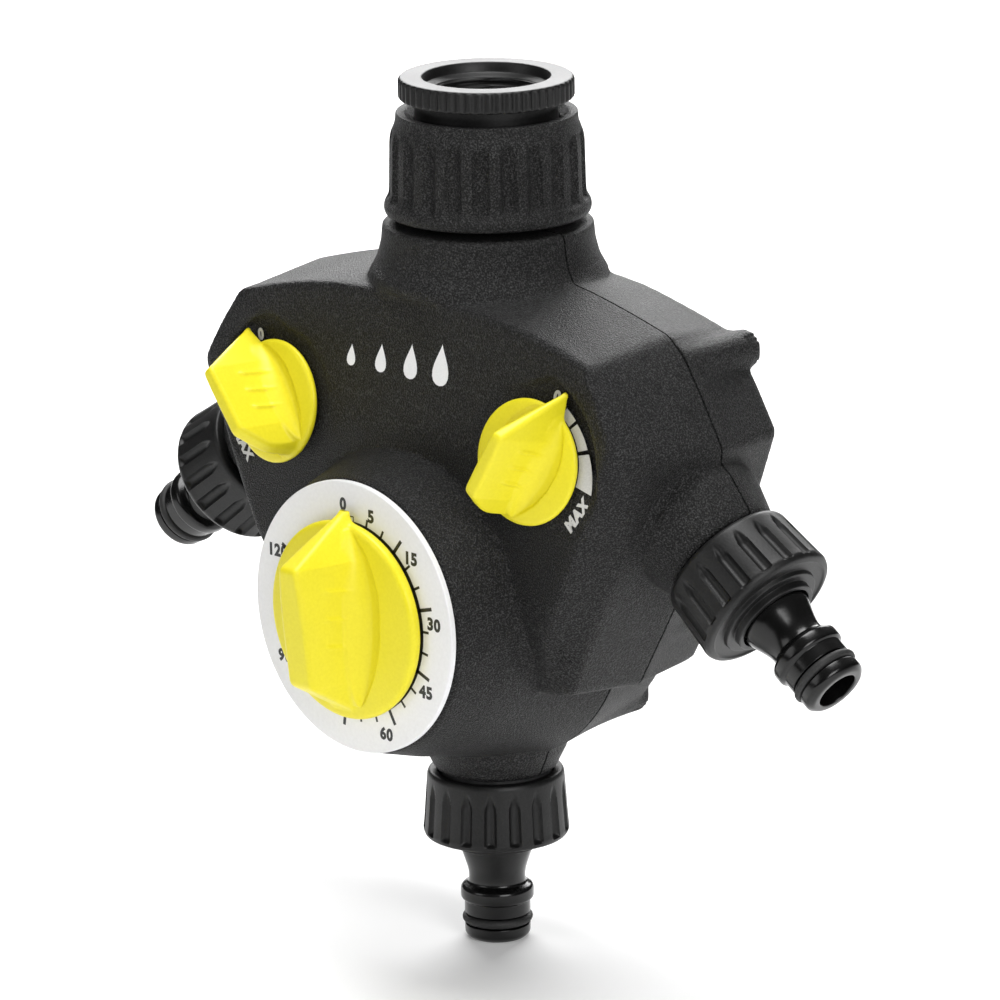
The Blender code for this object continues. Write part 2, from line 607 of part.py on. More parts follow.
def make_side_valves():
    """Ball, seat, spindle, gland and O-ring behind each flow knob; they turn with the knob."""
    for place, side, turn in (("left", -1, LEFT_POINTER), ("right", 1, RIGHT_POINTER)):
        frame = side_frame(side, turn)
        centre = -VALVE_DEPTH
        ball_top = centre + BALL_R * 0.90
        profile = [(0, centre - BALL_R)]
        for i in range(1, 7):
            angle = -pi / 2 + pi * i / 7
            profile.append((BALL_R * cos(angle), centre + BALL_R * sin(angle)))
        profile[-1] = (BALL_R * 0.42, ball_top)
        ball = spun(f"{place}_valve_ball", [*profile, (0, ball_top)], "white_plastic", frame, SMALL_ROUND)
        way = basis(valve_centre(side), frame.to_3x3() @ Vector((1, 0, 0)))
        cut(ball, disc("way", 0.0030, -0.02, 0.02, "white_plastic", way, 16))
        ring(f"{place}_ball_seat", 0.0045, 0.0069, centre - 0.0070, centre - 0.0050, "seal_rubber", frame, 16)
        low = ball_top + FIT_GAP
        spun(f"{place}_valve_spindle", [(0, low), (0.0026, low), (0.0026, -0.0105), (0.0018, -0.0105),
                                        (0.0018, -0.0009), (0, -0.0009)], "steel", frame, 16)
        gland_low = centre + 0.0078
        spun(f"{place}_valve_gland", [(0.0029, gland_low), (0.0069, gland_low), (0.0069, centre + 0.0113),
                                      (0.0090, centre + 0.0113), (0.0090, centre + 0.0135),
                                      (0.0029, centre + 0.0135)], "grey_plastic", side_frame(side), 16)
        ring(f"{place}_spindle_o_ring", 0.0029, 0.0046, gland_low - 0.0012, gland_low - FIT_GAP, "seal_rubber",
             side_frame(side), SMALL_ROUND)


# ---------------------------------------------------------------- clockwork
def gear_teeth(teeth, phase=0.0):
    """One outline for each tooth, with generous backlash: the teeth stay clear of each other all round."""
    pitch = TOOTH_MODULE * teeth / 2
    root, tip = pitch - 0.62 * TOOTH_MODULE, pitch + 0.45 * TOOTH_MODULE
    return tooth_outlines(teeth, ((-0.26, root), (-0.10, tip), (0.10, tip), (0.26, root)), phase)


def tooth_outlines(teeth, shape, phase=0.0):
    """Copies one tooth round a wheel; its shape is given as (share of the pitch, radius) points."""
    outlines = []
    for i in range(teeth):
        angles = [(2 * pi * (i + offset) / teeth + phase, r) for offset, r in shape]
        outlines.append([(r * cos(angle), r * sin(angle)) for angle, r in angles])
    return outlines


def clock_frame(x, y):
    """Local Z runs along +Y, local X along +X and local Y down, about a pivot off the arbor by x and y."""
    return basis((x, 0, DIAL_Z - y), (0, 1, 0), (1, 0, 0))


def mesh_phase(driver_teeth, teeth, direction, driver_phase):
    """Phase that puts a gap of the follower in front of a tooth of the driver on the line of centres."""
    step = 2 * pi / teeth
    behind = direction + pi
    offset_in_driver = ((direction - driver_phase) / (2 * pi / driver_teeth)) % 1.0
    return behind + step * (0.5 + offset_in_driver)


def staff_of(frame):
    """A staff that runs in both plates."""
    return disc("staff", STAFF_R, FRONT_PLATE_Y + 0.0002, BACK_PLATE_Y + PLATE_THICK - 0.0002, "steel", frame,
                TINY_ROUND)


def place_wheel(name, at, teeth, wheel_y, pinion_phase, pinion_y):
    """A wheel and pinion on one staff."""
    frame = clock_frame(*at)
    wheel = toothed(name, teeth, wheel_y, wheel_y + WHEEL_THICK, "brass", frame)
    span = (pinion_y - 0.0004, pinion_y + WHEEL_THICK + 0.0004)
    pinion = toothed("pinion", gear_teeth(PINION_TEETH, pinion_phase), *span, "brass", frame)
    add(wheel, staff_of(frame), pinion, solver="MANIFOLD")


def make_clockwork():
    """Plates, pillars, arbor, mainspring, four wheels and the balance."""
    reach = TOOTH_MODULE * (WHEEL_TEETH + PINION_TEETH) / 2
    angles = (radians(200), radians(120), radians(50))
    second = reach * Vector((cos(angles[0]), sin(angles[0])))
    third = second + reach * Vector((cos(angles[1]), sin(angles[1])))
    escape = third + reach * Vector((cos(angles[2]), sin(angles[2])))
    balance = Vector((0.0165, 0.0085))
    staffs = {"second_wheel": second, "third_wheel": third, "escape_wheel": escape, "balance_wheel": balance}
    pillars = [Vector((cos(a), sin(a))) * PILLAR_CIRCLE_R for a in (radians(270), radians(0), radians(215))]
    for name, y in (("timer_front_plate", FRONT_PLATE_Y), ("timer_back_plate", BACK_PLATE_Y)):
        plate = disc(name, PLATE_R, y, y + PLATE_THICK, "brass", clock_frame(0, 0))
        holes = [disc("arbor_hole", ARBOR_R + FIT_GAP, -0.06, 0.02, "brass", clock_frame(0, 0), SMALL_ROUND)]
        for at in staffs.values():
            holes.append(disc("pivot", 0.0011, -0.06, 0.02, "brass", clock_frame(*at), TINY_ROUND))
        cut(plate, *holes)
    for number, at in enumerate(pillars, 1):
        disc(f"timer_pillar_{number}", 0.0016, FRONT_PLATE_Y + PLATE_THICK + FIT_GAP, BACK_PLATE_Y - FIT_GAP,
             "steel", clock_frame(*at), TINY_ROUND)
    disc("timer_arbor", ARBOR_R, TIMER_RIM_Y + 0.0008, -0.0148, "steel", clock_frame(0, 0), SMALL_ROUND)
    wheel_y = {"main": -0.0350, "second": -0.0310, "third": -0.0270, "escape": -0.0230}
    main = toothed("main_wheel", gear_teeth(WHEEL_TEETH), wheel_y["main"], wheel_y["main"] + WHEEL_THICK,
                   "brass", clock_frame(0, 0))
    cut(main, disc("bore", ARBOR_R + FIT_GAP, -0.06, 0.0, "brass", clock_frame(0, 0), SMALL_ROUND))
    ratchet = tooth_outlines(ESCAPE_TEETH, ((-0.15, ESCAPE_ROOT_R), (0.0, ESCAPE_R), (0.15, ESCAPE_ROOT_R)))
    train = [("second", "main", second, gear_teeth(WHEEL_TEETH)), ("third", "second", third, gear_teeth(WHEEL_TEETH)),
             ("escape", "third", escape, ratchet)]
    for (wheel, driver, at, teeth), angle in zip(train, angles):
        phase = mesh_phase(WHEEL_TEETH, PINION_TEETH, angle, 0.0)
        place_wheel(f"{wheel}_wheel", at, teeth, wheel_y[wheel], phase, wheel_y[driver])
    frame = clock_frame(*balance)
    hoop = ring("balance_wheel", 0.0040, 0.0052, -0.0335, -0.0325, "brass", frame, SMALL_ROUND)
    bar = bmesh.new()
    bmesh.ops.create_cube(bar, size=1.0)
    bmesh.ops.scale(bar, verts=bar.verts, vec=(0.0088, 0.0014, 0.0008))
    bmesh.ops.translate(bar, verts=bar.verts, vec=(0, 0, -0.0330))
    add(hoop, make_object("bar", bar, "brass", frame), staff_of(frame))
    turns, steps = 3, 16
    spring = []
    for edge in (-1, 1):
        row = []
        for i in range(turns * steps + 1):
            angle = 2 * pi * i / steps
            r = 0.0032 + 0.0013 * i / steps + edge * 0.00022
            row.append((r * cos(angle), r * sin(angle)))
        spring.append(row)
    strip(*spring, -0.0255, -0.0205)


def strip(inner, outer, low, high):
    """The mainspring: a wound ribbon between two spiral edges."""
    bm = bmesh.new()
    rows = []
    for edge, y in ((inner, low), (outer, low), (outer, high), (inner, high)):
        rows.append([bm.verts.new((px, py, y)) for px, py in edge])
    for a, b in zip(rows, rows[1:] + rows[:1]):
        for i in range(len(inner) - 1):
            bm.faces.new((a[i], a[i + 1], b[i + 1], b[i]))
    bm.faces.new([row[0] for row in rows])
    bm.faces.new([row[-1] for row in rows])
    make_object("mainspring", bm, "steel", clock_frame(0, 0))


def make_timer_valve():
    """Face cam on the arbor, and the spool, spring and cap that it works."""
    frame = clock_frame(0, 0)
    cam_back = -0.0130
    steps = 20
    start = radians(90)
    bm = bmesh.new()
    rows = []
    for i in range(steps + 1):
        angle = start + radians(8) - (TIMER_TRAVEL + radians(16)) * i / steps
        share = min(max((start - angle) / TIMER_TRAVEL, 0.0), 1.0)
        top = cam_back + CAM_LIFT * share + 0.0006
        ring_points = []
        for r, y in ((0.0042, cam_back - 0.0004), (CAM_R, cam_back - 0.0004), (CAM_R, top), (0.0042, top)):
            ring_points.append(bm.verts.new((r * cos(angle), r * sin(angle), y)))
        rows.append(ring_points)
    for a, b in zip(rows, rows[1:]):
        for i in range(4):
            j = (i + 1) % 4
            bm.faces.new((a[i], a[j], b[j], b[i]))
    bm.faces.new(rows[0])
    bm.faces.new(rows[-1])
    ramp = make_object("ramp", bm, "white_plastic", frame)
    cam = disc("valve_cam", CAM_R, cam_back - 0.0018, cam_back, "white_plastic", frame, 30)
    add(cam, ramp)
    cut(cam, disc("bore", ARBOR_R + FIT_GAP, -0.03, cam_back - 0.0008, "white_plastic", frame, SMALL_ROUND))
    across = basis((0, 0, DIAL_Z - SPOOL_DROP), (0, 1, 0), (1, 0, 0))
    nose = cam_back + 0.0006 + FIT_GAP
    spun("valve_spool", [(0, nose), (0.0012, nose), (0.0012, -0.0088), (SPOOL_R, -0.0088), (SPOOL_R, -0.0010),
                         (0.0036, -0.0010), (0.0036, 0.0010), (SPOOL_R, 0.0010), (SPOOL_R, 0.0070),
                         (0.0015, 0.0070), (0.0015, 0.0090), (0, 0.0090)], "white_plastic", across, SMALL_ROUND)
    spun("spool_cap", [(0, 0.0155), (0.0058, 0.0155), (0.0058, 0.0173), (0.0084, 0.0173), (0.0084, 0.0188),
                       (0, 0.0188)], "grey_plastic", across, SMALL_ROUND)
    turns, steps, wire = 3, 12, 0.0003
    curve = bpy.data.curves.new("return_spring", "CURVE")
    curve.dimensions = "3D"
    curve.bevel_depth = wire
    curve.bevel_resolution = 1
    curve.use_fill_caps = True
    spline = curve.splines.new("POLY")
    spline.points.add(turns * steps)
    low, high = 0.0107, 0.0147
    for i, point in enumerate(spline.points):
        angle = 2 * pi * i / steps
        point.co = (0.0042 * cos(angle), 0.0042 * sin(angle), low + (high - low) * i / (turns * steps), 1)
    curve.materials.append(bpy.data.materials["steel"])
    spring = bpy.data.objects.new("return_spring", curve)
    spring.matrix_world = across
    bpy.context.scene.collection.objects.link(spring)


def clear_scene():
    for obj in list(bpy.data.objects):
        bpy.data.objects.remove(obj)


clear_scene()
make_housing()
make_screws()
make_inlet()
make_outlets()
make_knobs()
make_dial()
make_manifold()
make_side_valves()
make_clockwork()
make_timer_valve()
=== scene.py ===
"""Looks of the drip irrigation timer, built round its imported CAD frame.

Lengths are millimetres unless a name says otherwise, in the CAD's axes: the tap face is z = 0, +Z is up
and the dial faces -Y. The housing and the knobs are meshed from distance fields, which gives them the
soft edges of mouldings. Turned pieces are swept outlines, with ribs and threads as radius functions.
"""

import json
from math import cos, degrees, hypot, pi, radians, sin, tan

import bmesh
import bpy
import numpy as np
from mathutils import Matrix, Vector


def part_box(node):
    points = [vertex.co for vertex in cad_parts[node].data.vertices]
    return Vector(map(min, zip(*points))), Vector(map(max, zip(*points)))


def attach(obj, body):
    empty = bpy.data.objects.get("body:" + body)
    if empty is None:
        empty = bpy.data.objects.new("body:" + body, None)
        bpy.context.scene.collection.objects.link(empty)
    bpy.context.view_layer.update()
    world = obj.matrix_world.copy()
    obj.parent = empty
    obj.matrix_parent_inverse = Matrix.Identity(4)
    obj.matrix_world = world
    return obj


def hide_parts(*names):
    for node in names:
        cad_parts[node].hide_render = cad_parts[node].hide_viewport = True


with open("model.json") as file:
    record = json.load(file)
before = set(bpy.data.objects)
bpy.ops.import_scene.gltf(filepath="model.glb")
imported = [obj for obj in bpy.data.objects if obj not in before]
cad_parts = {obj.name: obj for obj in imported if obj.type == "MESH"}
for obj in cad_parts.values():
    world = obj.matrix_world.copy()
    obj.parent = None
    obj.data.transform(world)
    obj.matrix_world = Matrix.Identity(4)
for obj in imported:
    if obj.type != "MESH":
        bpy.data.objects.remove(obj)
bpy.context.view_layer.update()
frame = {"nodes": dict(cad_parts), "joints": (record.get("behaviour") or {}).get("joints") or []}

MM = 0.001
JOINTS = {joint["name"]: joint for joint in frame["joints"]}


def joint_place(name):
    """Position in millimetres and axis of a joint."""
    joint = JOINTS[name]
    return Vector(joint["pos_m"]) / MM, Vector(joint["axis"])


def node_box(node):
    """Corners of a node's box, in millimetres."""
    low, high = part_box(node)
    return low / MM, high / MM


# ---------------------------------------------------------------- driving dimensions
DIAL_LOW, DIAL_HIGH = node_box("dial_plate")
DIAL_Z = (DIAL_LOW.z + DIAL_HIGH.z) / 2
DIAL_R = (DIAL_HIGH.x - DIAL_LOW.x) / 2
DIAL_FRONT, DIAL_BACK = DIAL_LOW.y, DIAL_HIGH.y
FLOOR_Z = node_box("bottom_nipple")[0].z

# front face: its depth, where it leans back above, and where it falls away below
FACE_Y = -28.8
FACE_LEAN, FACE_LEAN_Z = radians(7.8), -74.3
FACE_FALL, FACE_FALL_Z = 0.42, -114.3
FACE_BLEND = 5.0

# housing sections: half outlines from the top centre clockwise, as seen from the front
CREASE_Y = -20.5
REAR_Y, REAR_DRAFT = 22.0, 3.0
FACE_HALF = [(0, -46.2), (27, -47.4), (42, -50), (55.5, -53.8), (62.2, -64.3), (66.4, -74.4), (57.7, -92.9),
             (49, -108.4), (38, -134.8)]
CREASE_HALF = [(0, -45.4), (27, -46.8), (42, -49.6), (55.8, -53.5), (63.6, -64), (69.8, -73.8), (63.5, -91),
               (57, -106.5), (44, -133)]
SEAM_HALF = [(0, -42.5), (27, -43.9), (42, -47), (56.5, -51.3), (64, -60), (72.5, -74.9), (66, -94),
             (60, -109.5), (46.2, -134.4)]
SECTION_SOFTNESS = 0.7
EDGE_ROUND = 1.1
REAR_ROUND = 3.0
WALL = 2.5
SEAM_GAP = 0.5
INNER_EDGE, HOLE_EDGE = 0.8, 0.7

# turned parts of the housing: (radius, depth) for the bowl, (radius, height) for the neck
BOWL = [(31.8, -43.2), (35.4, -31), (42, 0), (39, 20), (36, 25)]
NECK = [(24.0, -33.2), (24.4, -37.6), (25.4, -41.5), (27.2, -44.8), (27.2, -47)]
TURNED_ROUND = 1.0
BOWL_FILLET, NECK_FILLET = 1.2, 1.0
NECK_HOLE_R, NECK_HOLE_END = 13.3, -60
DIAL_HOLE_R, DIAL_HOLE_END = 6.0, -35

# collars round the outlets: distances from the joint, along the outlet's axis into the housing
COLLAR_START, COLLAR_END_R, COLLAR_BASE_R = 16.5, 14.0, 16.8
COLLAR_BASES = {"right_nut_turn": 26.2, "bottom_nut_turn": 22.2}
COLLAR_ROOT, COLLAR_FILLET, COLLAR_ROUND = 8, 1.2, 0.8
STUB_HOLE_R, STUB_HOLE_END = 12.4, 48

# screw bosses of the rear shell, on its right side: where they stand, and how deep they reach
SCREW_PLACES = [(57.5, -58.3), (47.8, -119.5), (22.0, -146.0)]
SCREW_BOSS_R, SCREW_BOSS_START, SCREW_BOSS_END = 4.5, 0.2, 24.5
SCREW_BOSS_FILLET, SCREW_BOSS_ROUND = 1.6, 1.0
SCREW_HOLE_R, SCREW_HOLE_END = 1.9, -5
COUNTERBORE_R, COUNTERBORE_DEPTH = 3.4, 4.0

# recesses of the side knobs, with their printed scales
POCKET_R, POCKET_LOBE, POCKET_DEPTH = 17.0, 2.9, 2.2
POCKET_ROUND, POCKET_RIM_ROUND, POCKET_RIM = 0.8, 1.1, 1.4
LOBE_FULL, LOBE_END = radians(58), radians(84)      # on each side of the scale's middle
STEM_HOLE_R, STEM_HOLE_END = 4.6, -12
SCALE_MIDDLE = radians(76)      # direction of the printed scale, clockwise from up on the right
LEFT_POINTER, RIGHT_POINTER = radians(-40), radians(29)     # clockwise from straight up
# start and end in degrees past the zero, outer radius, and how much less that radius is at the start
SCALE_BANDS = ((13, 26, 16.0, 0.0), (29, 51.5, 16.4, 0.5), (55, 85, 18.3, 1.7))

# spacing of the sampled grids, and the box of the right half of the housing
HOUSING_STEP = 0.9
KNOB_STEP = 0.3
HOUSING_LOW, HOUSING_HIGH = (0.0, -45.5, -164.5), (82.6, 27.5, -31.2)

# couplings
NIPPLE_OUT = 24.9
TAP_THREAD_R, TAP_THREAD_PITCH, TAP_THREAD_DEPTH = 12.2, 1.81, 0.9
TAP_THREAD_TOP, TAP_THREAD_BOTTOM = -3.2, -13.5


# ---------------------------------------------------------------- materials
UNEVENNESS_MM, ROUGHNESS_SPREAD = 22, 0.12


def noise(tree, scale, detail, coordinates):
    node = tree.nodes.new("ShaderNodeTexNoise")
    node.inputs["Scale"].default_value = scale
    node.inputs["Detail"].default_value = detail
    tree.links.new(coordinates, node.inputs["Vector"])
    return node.outputs["Fac"]


def ramp(tree, factor, low, high, start=0.0, end=1.0):
    """Colour ramp between two colours or two grey values."""
    node = tree.nodes.new("ShaderNodeValToRGB")
    for element, place, value in zip(node.color_ramp.elements, (start, end), (low, high)):
        element.position = place
        element.color = (*value, 1.0) if hasattr(value, "__len__") else (value, value, value, 1.0)
    tree.links.new(factor, node.inputs["Fac"])
    return node.outputs["Color"]


def finish(name, dark, light, roughness, grain_mm, depth_mm, specular=0.5, metallic=0.0,
           contrast=(0.3, 0.7), detail=2.0):
    """A moulded or turned surface: grain in colour, roughness and bump, over a slow unevenness."""
    material = bpy.data.materials.new(name)
    material.use_nodes = True
    tree = material.node_tree
    shader = tree.nodes["Principled BSDF"]
    coordinates = tree.nodes.new("ShaderNodeTexCoord").outputs["Object"]
    grain = noise(tree, 1 / (grain_mm * MM), detail, coordinates)
    slow = noise(tree, 1 / (UNEVENNESS_MM * MM), 3.0, coordinates)
    tree.links.new(ramp(tree, grain, dark, light, *contrast), shader.inputs["Base Color"])
    mix = tree.nodes.new("ShaderNodeMath")
    mix.operation = "MULTIPLY_ADD"
    mix.inputs[1].default_value = ROUGHNESS_SPREAD
    mix.inputs[2].default_value = roughness - ROUGHNESS_SPREAD / 2
    tree.links.new(slow, mix.inputs[0])
    tree.links.new(mix.outputs[0], shader.inputs["Roughness"])
    bump = tree.nodes.new("ShaderNodeBump")
    bump.inputs["Distance"].default_value = depth_mm * MM
    bump.inputs["Strength"].default_value = 1.0
    tree.links.new(grain, bump.inputs["Height"])
    tree.links.new(bump.outputs["Normal"], shader.inputs["Normal"])
    shader.inputs["Specular IOR Level"].default_value = specular
    shader.inputs["Metallic"].default_value = metallic
    return material


# each finish: dark and light colour or grey, roughness, grain size and depth in mm, then what differs
FINISHES = {
    "housing_black": (0.002, 0.060, 0.52, 0.36, 0.45,
                      {"specular": 0.25, "contrast": (0.46, 0.78), "detail": 1.0}),
    "nut_black": (0.003, 0.008, 0.44, 0.5, 0.04, {"specular": 0.35}),
    "gloss_black": (0.002, 0.004, 0.20, 3.0, 0.03, {"specular": 0.4}),
    "knob_yellow": ((0.80, 0.70, 0.016), (0.84, 0.74, 0.022), 0.40, 0.7, 0.006, {"specular": 0.35}),
    "dial_white": ((0.80, 0.80, 0.81), (0.84, 0.84, 0.85), 0.38, 0.9, 0.004, {}),
    "print_black": (0.010, 0.016, 0.45, 0.4, 0.004, {}),
    "print_grey": (0.55, 0.64, 0.50, 0.35, 0.006, {}),
    "print_white": (0.84, 0.90, 0.50, 0.35, 0.006, {}),
    "seal_rubber": (0.010, 0.020, 0.62, 0.6, 0.010, {}),
    "grey_plastic": ((0.030, 0.031, 0.032), (0.045, 0.046, 0.047), 0.50, 0.5, 0.02, {}),
    "white_plastic": ((0.74, 0.74, 0.72), (0.82, 0.82, 0.80), 0.45, 0.6, 0.01, {}),
    "brass": ((0.70, 0.50, 0.20), (0.80, 0.60, 0.28), 0.30, 0.25, 0.01, {"metallic": 1.0}),
    "steel": ((0.52, 0.52, 0.53), (0.66, 0.66, 0.67), 0.30, 0.25, 0.01, {"metallic": 1.0}),
}
MATERIALS = {name: finish(name, *look, **extra) for name, (*look, extra) in FINISHES.items()}


# ---------------------------------------------------------------- meshing helpers
def smooth_min(a, b, k):
    """Union of two distance fields with a fillet about k wide."""
    overlap = np.maximum(k - np.abs(a - b), 0) / k
    return np.minimum(a, b) - overlap * overlap * k / 4


def smooth_max(a, b, k):
    """Intersection of two distance fields with an edge rounded about k wide."""
    return -smooth_min(-a, -b, k)


def grid_axes(low, high, step):
    """Sample places along x, y and z, shaped so that they broadcast."""
    counts = [int(round((b - a) / step)) + 1 for a, b in zip(low, high)]
    x, y, z = (a + step * np.arange(n, dtype=np.float32) for a, n in zip(low, counts))
    return x[:, None, None], y[None, :, None], z[None, None, :]


def surface_net(field, low, step):
    """Points and quads of the surface where a sampled field changes sign."""
    solid = field < 0
    count = np.zeros([n - 1 for n in field.shape], np.uint8)
    for i in (0, 1):
        for j in (0, 1):
            for k in (0, 1):
                nx, ny, nz = count.shape
                count += solid[i:i + nx, j:j + ny, k:k + nz]
    cells = np.argwhere((count > 0) & (count < 8))
    index = np.full(count.shape, -1, np.int64)
    index[tuple(cells.T)] = np.arange(len(cells))
    total = np.zeros(cells.shape)
    hits = np.zeros(len(cells))
    unit = np.eye(3, dtype=int)
    for axis in range(3):
        u, v = unit[(axis + 1) % 3], unit[(axis + 2) % 3]
        for i in (0, 1):
            for j in (0, 1):
                start = cells + i * u + j * v
                first = field[tuple(start.T)]
                second = field[tuple((start + unit[axis]).T)]
                crossed = (first < 0) != (second < 0)
                share = first[crossed] / (first[crossed] - second[crossed])
                total[crossed] += start[crossed] + share[:, None] * unit[axis]
                hits[crossed] += 1
    points = np.asarray(low) + step * total / hits[:, None]
    quads = []
    for axis in range(3):
        u, v = unit[(axis + 1) % 3], unit[(axis + 2) % 3]
        ahead = np.roll(solid, -1, axis)
        places = np.argwhere(solid != ahead)
        places = places[(places < np.array(field.shape) - 1).all(axis=1)]
        ring = [index[tuple((places - step_back).T)] for step_back in (0 * u, u, u + v, v)]
        faces = np.stack(ring, axis=1)
        outward = solid[tuple(places.T)]
        faces[~outward] = faces[~outward, ::-1]
        quads.append(faces)
    return points, np.concatenate(quads)


def mesh_object(name, points, faces, material, matrix=None):
    """A smooth-shaded object from points in millimetres; matrix places them, also in millimetres."""
    mesh = bpy.data.meshes.new(name)
    mesh.from_pydata([tuple(p) for p in points], [], [tuple(f) for f in faces])
    if matrix:
        mesh.transform(matrix)
    mesh.transform(Matrix.Scale(MM, 4))
    mesh.shade_smooth()
    mesh.materials.append(MATERIALS[material])
    obj = bpy.data.objects.new(name, mesh)
    bpy.context.scene.collection.objects.link(obj)
    return obj


def dress(obj, body, slot, *stands_for):
    """Puts a piece on its CAD body and hides the CAD nodes it stands for; slot, its finish, is not used."""
    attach(obj, body)
    if stands_for:
        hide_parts(*stands_for)
    return obj


def basis(position, axis, turn_from):
    """Matrix that puts local Z on axis and local X towards turn_from."""
    z = Vector(axis).normalized()
    hint = Vector(turn_from)
    x = (hint - z * hint.dot(z)).normalized()
    return Matrix.Translation(position) @ Matrix((x, z.cross(x), z)).transposed().to_4x4()


def rounded(outline, steps=4):
    """Rounds the corners of a closed outline of (radius, height) or (radius, height, fillet) points."""
    result = []
    for i, corner in enumerate(outline):
        here = Vector(corner[:2])
        before = Vector(outline[i - 1][:2])
        after = Vector(outline[(i + 1) % len(outline)][:2])
        fillet = corner[2] if len(corner) > 2 else 0.0
        if not fillet:
            result.append(here)
            continue
        reach_before = min(fillet, (before - here).length * 0.49)
        reach_after = min(fillet, (after - here).length * 0.49)
        start = here + (before - here).normalized() * reach_before
        end = here + (after - here).normalized() * reach_after
        for k in range(steps + 1):
            t = k / steps
            result.append(start * (1 - t) ** 2 + here * 2 * t * (1 - t) + end * t ** 2)
    return result


def subdivided(outline, longest):
    """Adds points to a closed outline so that no side is longer than longest."""
    result = []
    for i, here in enumerate(outline):
        after = outline[(i + 1) % len(outline)]
        count = max(1, int((after - here).length / longest))
        result += [here.lerp(after, k / count) for k in range(count)]
    return result


def turned(name, outline, material, matrix, segments=96, relief=None, longest=50.0):
    """Sweeps a closed outline about local Z; relief(radius, height, angle) changes the radius."""
    profile = subdivided(rounded(outline), longest)
    radii = np.array([p.x for p in profile])[:, None]
    heights = np.array([p.y for p in profile])[:, None]
    angles = np.arange(segments)[None, :] * 2 * pi / segments
    swept = radii + 0 * angles if relief is None else relief(radii, heights, angles)
    points = np.stack([swept * np.cos(angles), swept * np.sin(angles), heights + 0 * angles], axis=-1)
    rows, columns = swept.shape
    index = np.arange(rows * columns).reshape(rows, columns)
    below, beside = np.roll(index, -1, 0), np.roll(index, -1, 1)
    faces = np.stack([index, beside, np.roll(below, -1, 1), below], axis=-1).reshape(-1, 4)
    obj = mesh_object(name, points.reshape(-1, 3), faces, material, matrix)
    bm = bmesh.new()
    bm.from_mesh(obj.data)
    bmesh.ops.recalc_face_normals(bm, faces=bm.faces)
    bm.to_mesh(obj.data)
    bm.free()
    obj.data.set_sharp_from_angle(angle=radians(42))
    return obj


def smooth_step(value, start, end):
    """Rises smoothly from 0 at start to 1 at end."""
    t = np.clip((value - start) / (end - start), 0, 1)
    return t * t * (3 - 2 * t)


def along(value, places, results):
    """Straight-line values between given places."""
    return np.interp(value, places, results).astype(np.float32)


# ---------------------------------------------------------------- housing
def face_y(z):
    """Depth of the front face: it leans back above its widest level and falls away to the chin."""
    total = 0
    for shift in (-FACE_BLEND, 0.0, FACE_BLEND):
        height = z + shift
        total = total + FACE_Y + np.maximum(height - FACE_LEAN_Z, 0) * tan(FACE_LEAN)
        total = total + np.maximum(FACE_FALL_Z - height, 0) * FACE_FALL
    return total / 3


def inset_half(points, amount):
    """Moves a half outline inwards, each point along the mean normal of its two sides."""
    result = []
    for i, (x, z) in enumerate(points):
        before, after = points[max(i - 1, 0)], points[min(i + 1, len(points) - 1)]
        length = hypot(after[0] - before[0], after[1] - before[1])
        inward = ((after[1] - before[1]) / length, -(after[0] - before[0]) / length)
        result.append((x + inward[0] * amount if i else 0.0, z + inward[1] * amount))
    return result


def section_shares(y, z):
    """How much each of the four sections counts at depth y and height z."""
    front = face_y(z)
    crease = np.maximum(CREASE_Y, front + 0.8)
    shares = 0
    for shift in (-SECTION_SOFTNESS, 0.0, SECTION_SOFTNESS):
        depth = y + shift
        ahead = (depth - front) / (crease - front)
        place = np.where(depth < crease, ahead, np.where(depth < 0, 2 - depth / crease, 2 + depth / REAR_Y))
        place = np.clip(place, 0, 3)
        shares = shares + np.stack([np.clip(1 - np.abs(place - k), 0, 1) for k in range(4)])
    return (shares / 3).astype(np.float32)


def body_field(x, y, z):
    """Distance to the faceted body, for x >= 0."""
    sections = [FACE_HALF, CREASE_HALF, SEAM_HALF, inset_half(SEAM_HALF, REAR_DRAFT)]
    closed = [[*half, (0.0, half[-1][1])] for half in sections]
    shares = section_shares(y, z)
    corners = []
    for points in zip(*closed):
        corners.append([sum(share * point[axis] for share, point in zip(shares, points)) for axis in (0, 1)])
    distance = None
    for (ax, az), (bx, bz) in zip(corners, corners[1:]):
        length = np.hypot(bx - ax, bz - az)
        side = (x - ax) * (az - bz) / length + (z - az) * (bx - ax) / length
        distance = side if distance is None else smooth_max(distance, side, EDGE_ROUND)
    front = (face_y(z) - y) * cos(FACE_LEAN)
    distance = smooth_max(distance, front + 0 * x, EDGE_ROUND)
    return smooth_max(distance, y - REAR_Y + 0 * x, REAR_ROUND)


def bowl_field(x, y, z, wall=0.0):
    """Distance to the turned bowl behind the dial."""
    radii, depths = zip(*BOWL)
    side = np.hypot(x, z - DIAL_Z) - along(y, depths, radii)
    ends = np.maximum(depths[0] - y, y - depths[-1])
    return smooth_max(side * 0.98 + wall, ends + wall + 0 * side, TURNED_ROUND)


def neck_field(x, y, z, wall=0.0):
    """Distance to the neck under the inlet nut."""
    radii, heights = zip(*NECK[::-1])
    side = np.hypot(x, y) - along(z, heights, radii)
    ends = np.maximum(z - heights[-1], heights[0] - z - wall)
    return smooth_max(side * 0.97 + wall, ends + wall + 0 * side, TURNED_ROUND)


def from_line(x, y, z, place, axis):
    """Distance from the line through place in the direction of axis, and length along it from place."""
    dx, dy, dz = x - place[0], y - place[1], z - place[2]
    length = dx * axis[0] + dy * axis[1] + dz * axis[2]
    radius = np.sqrt(np.maximum(dx * dx + dy * dy + dz * dz - length * length, 0))
    return radius, length


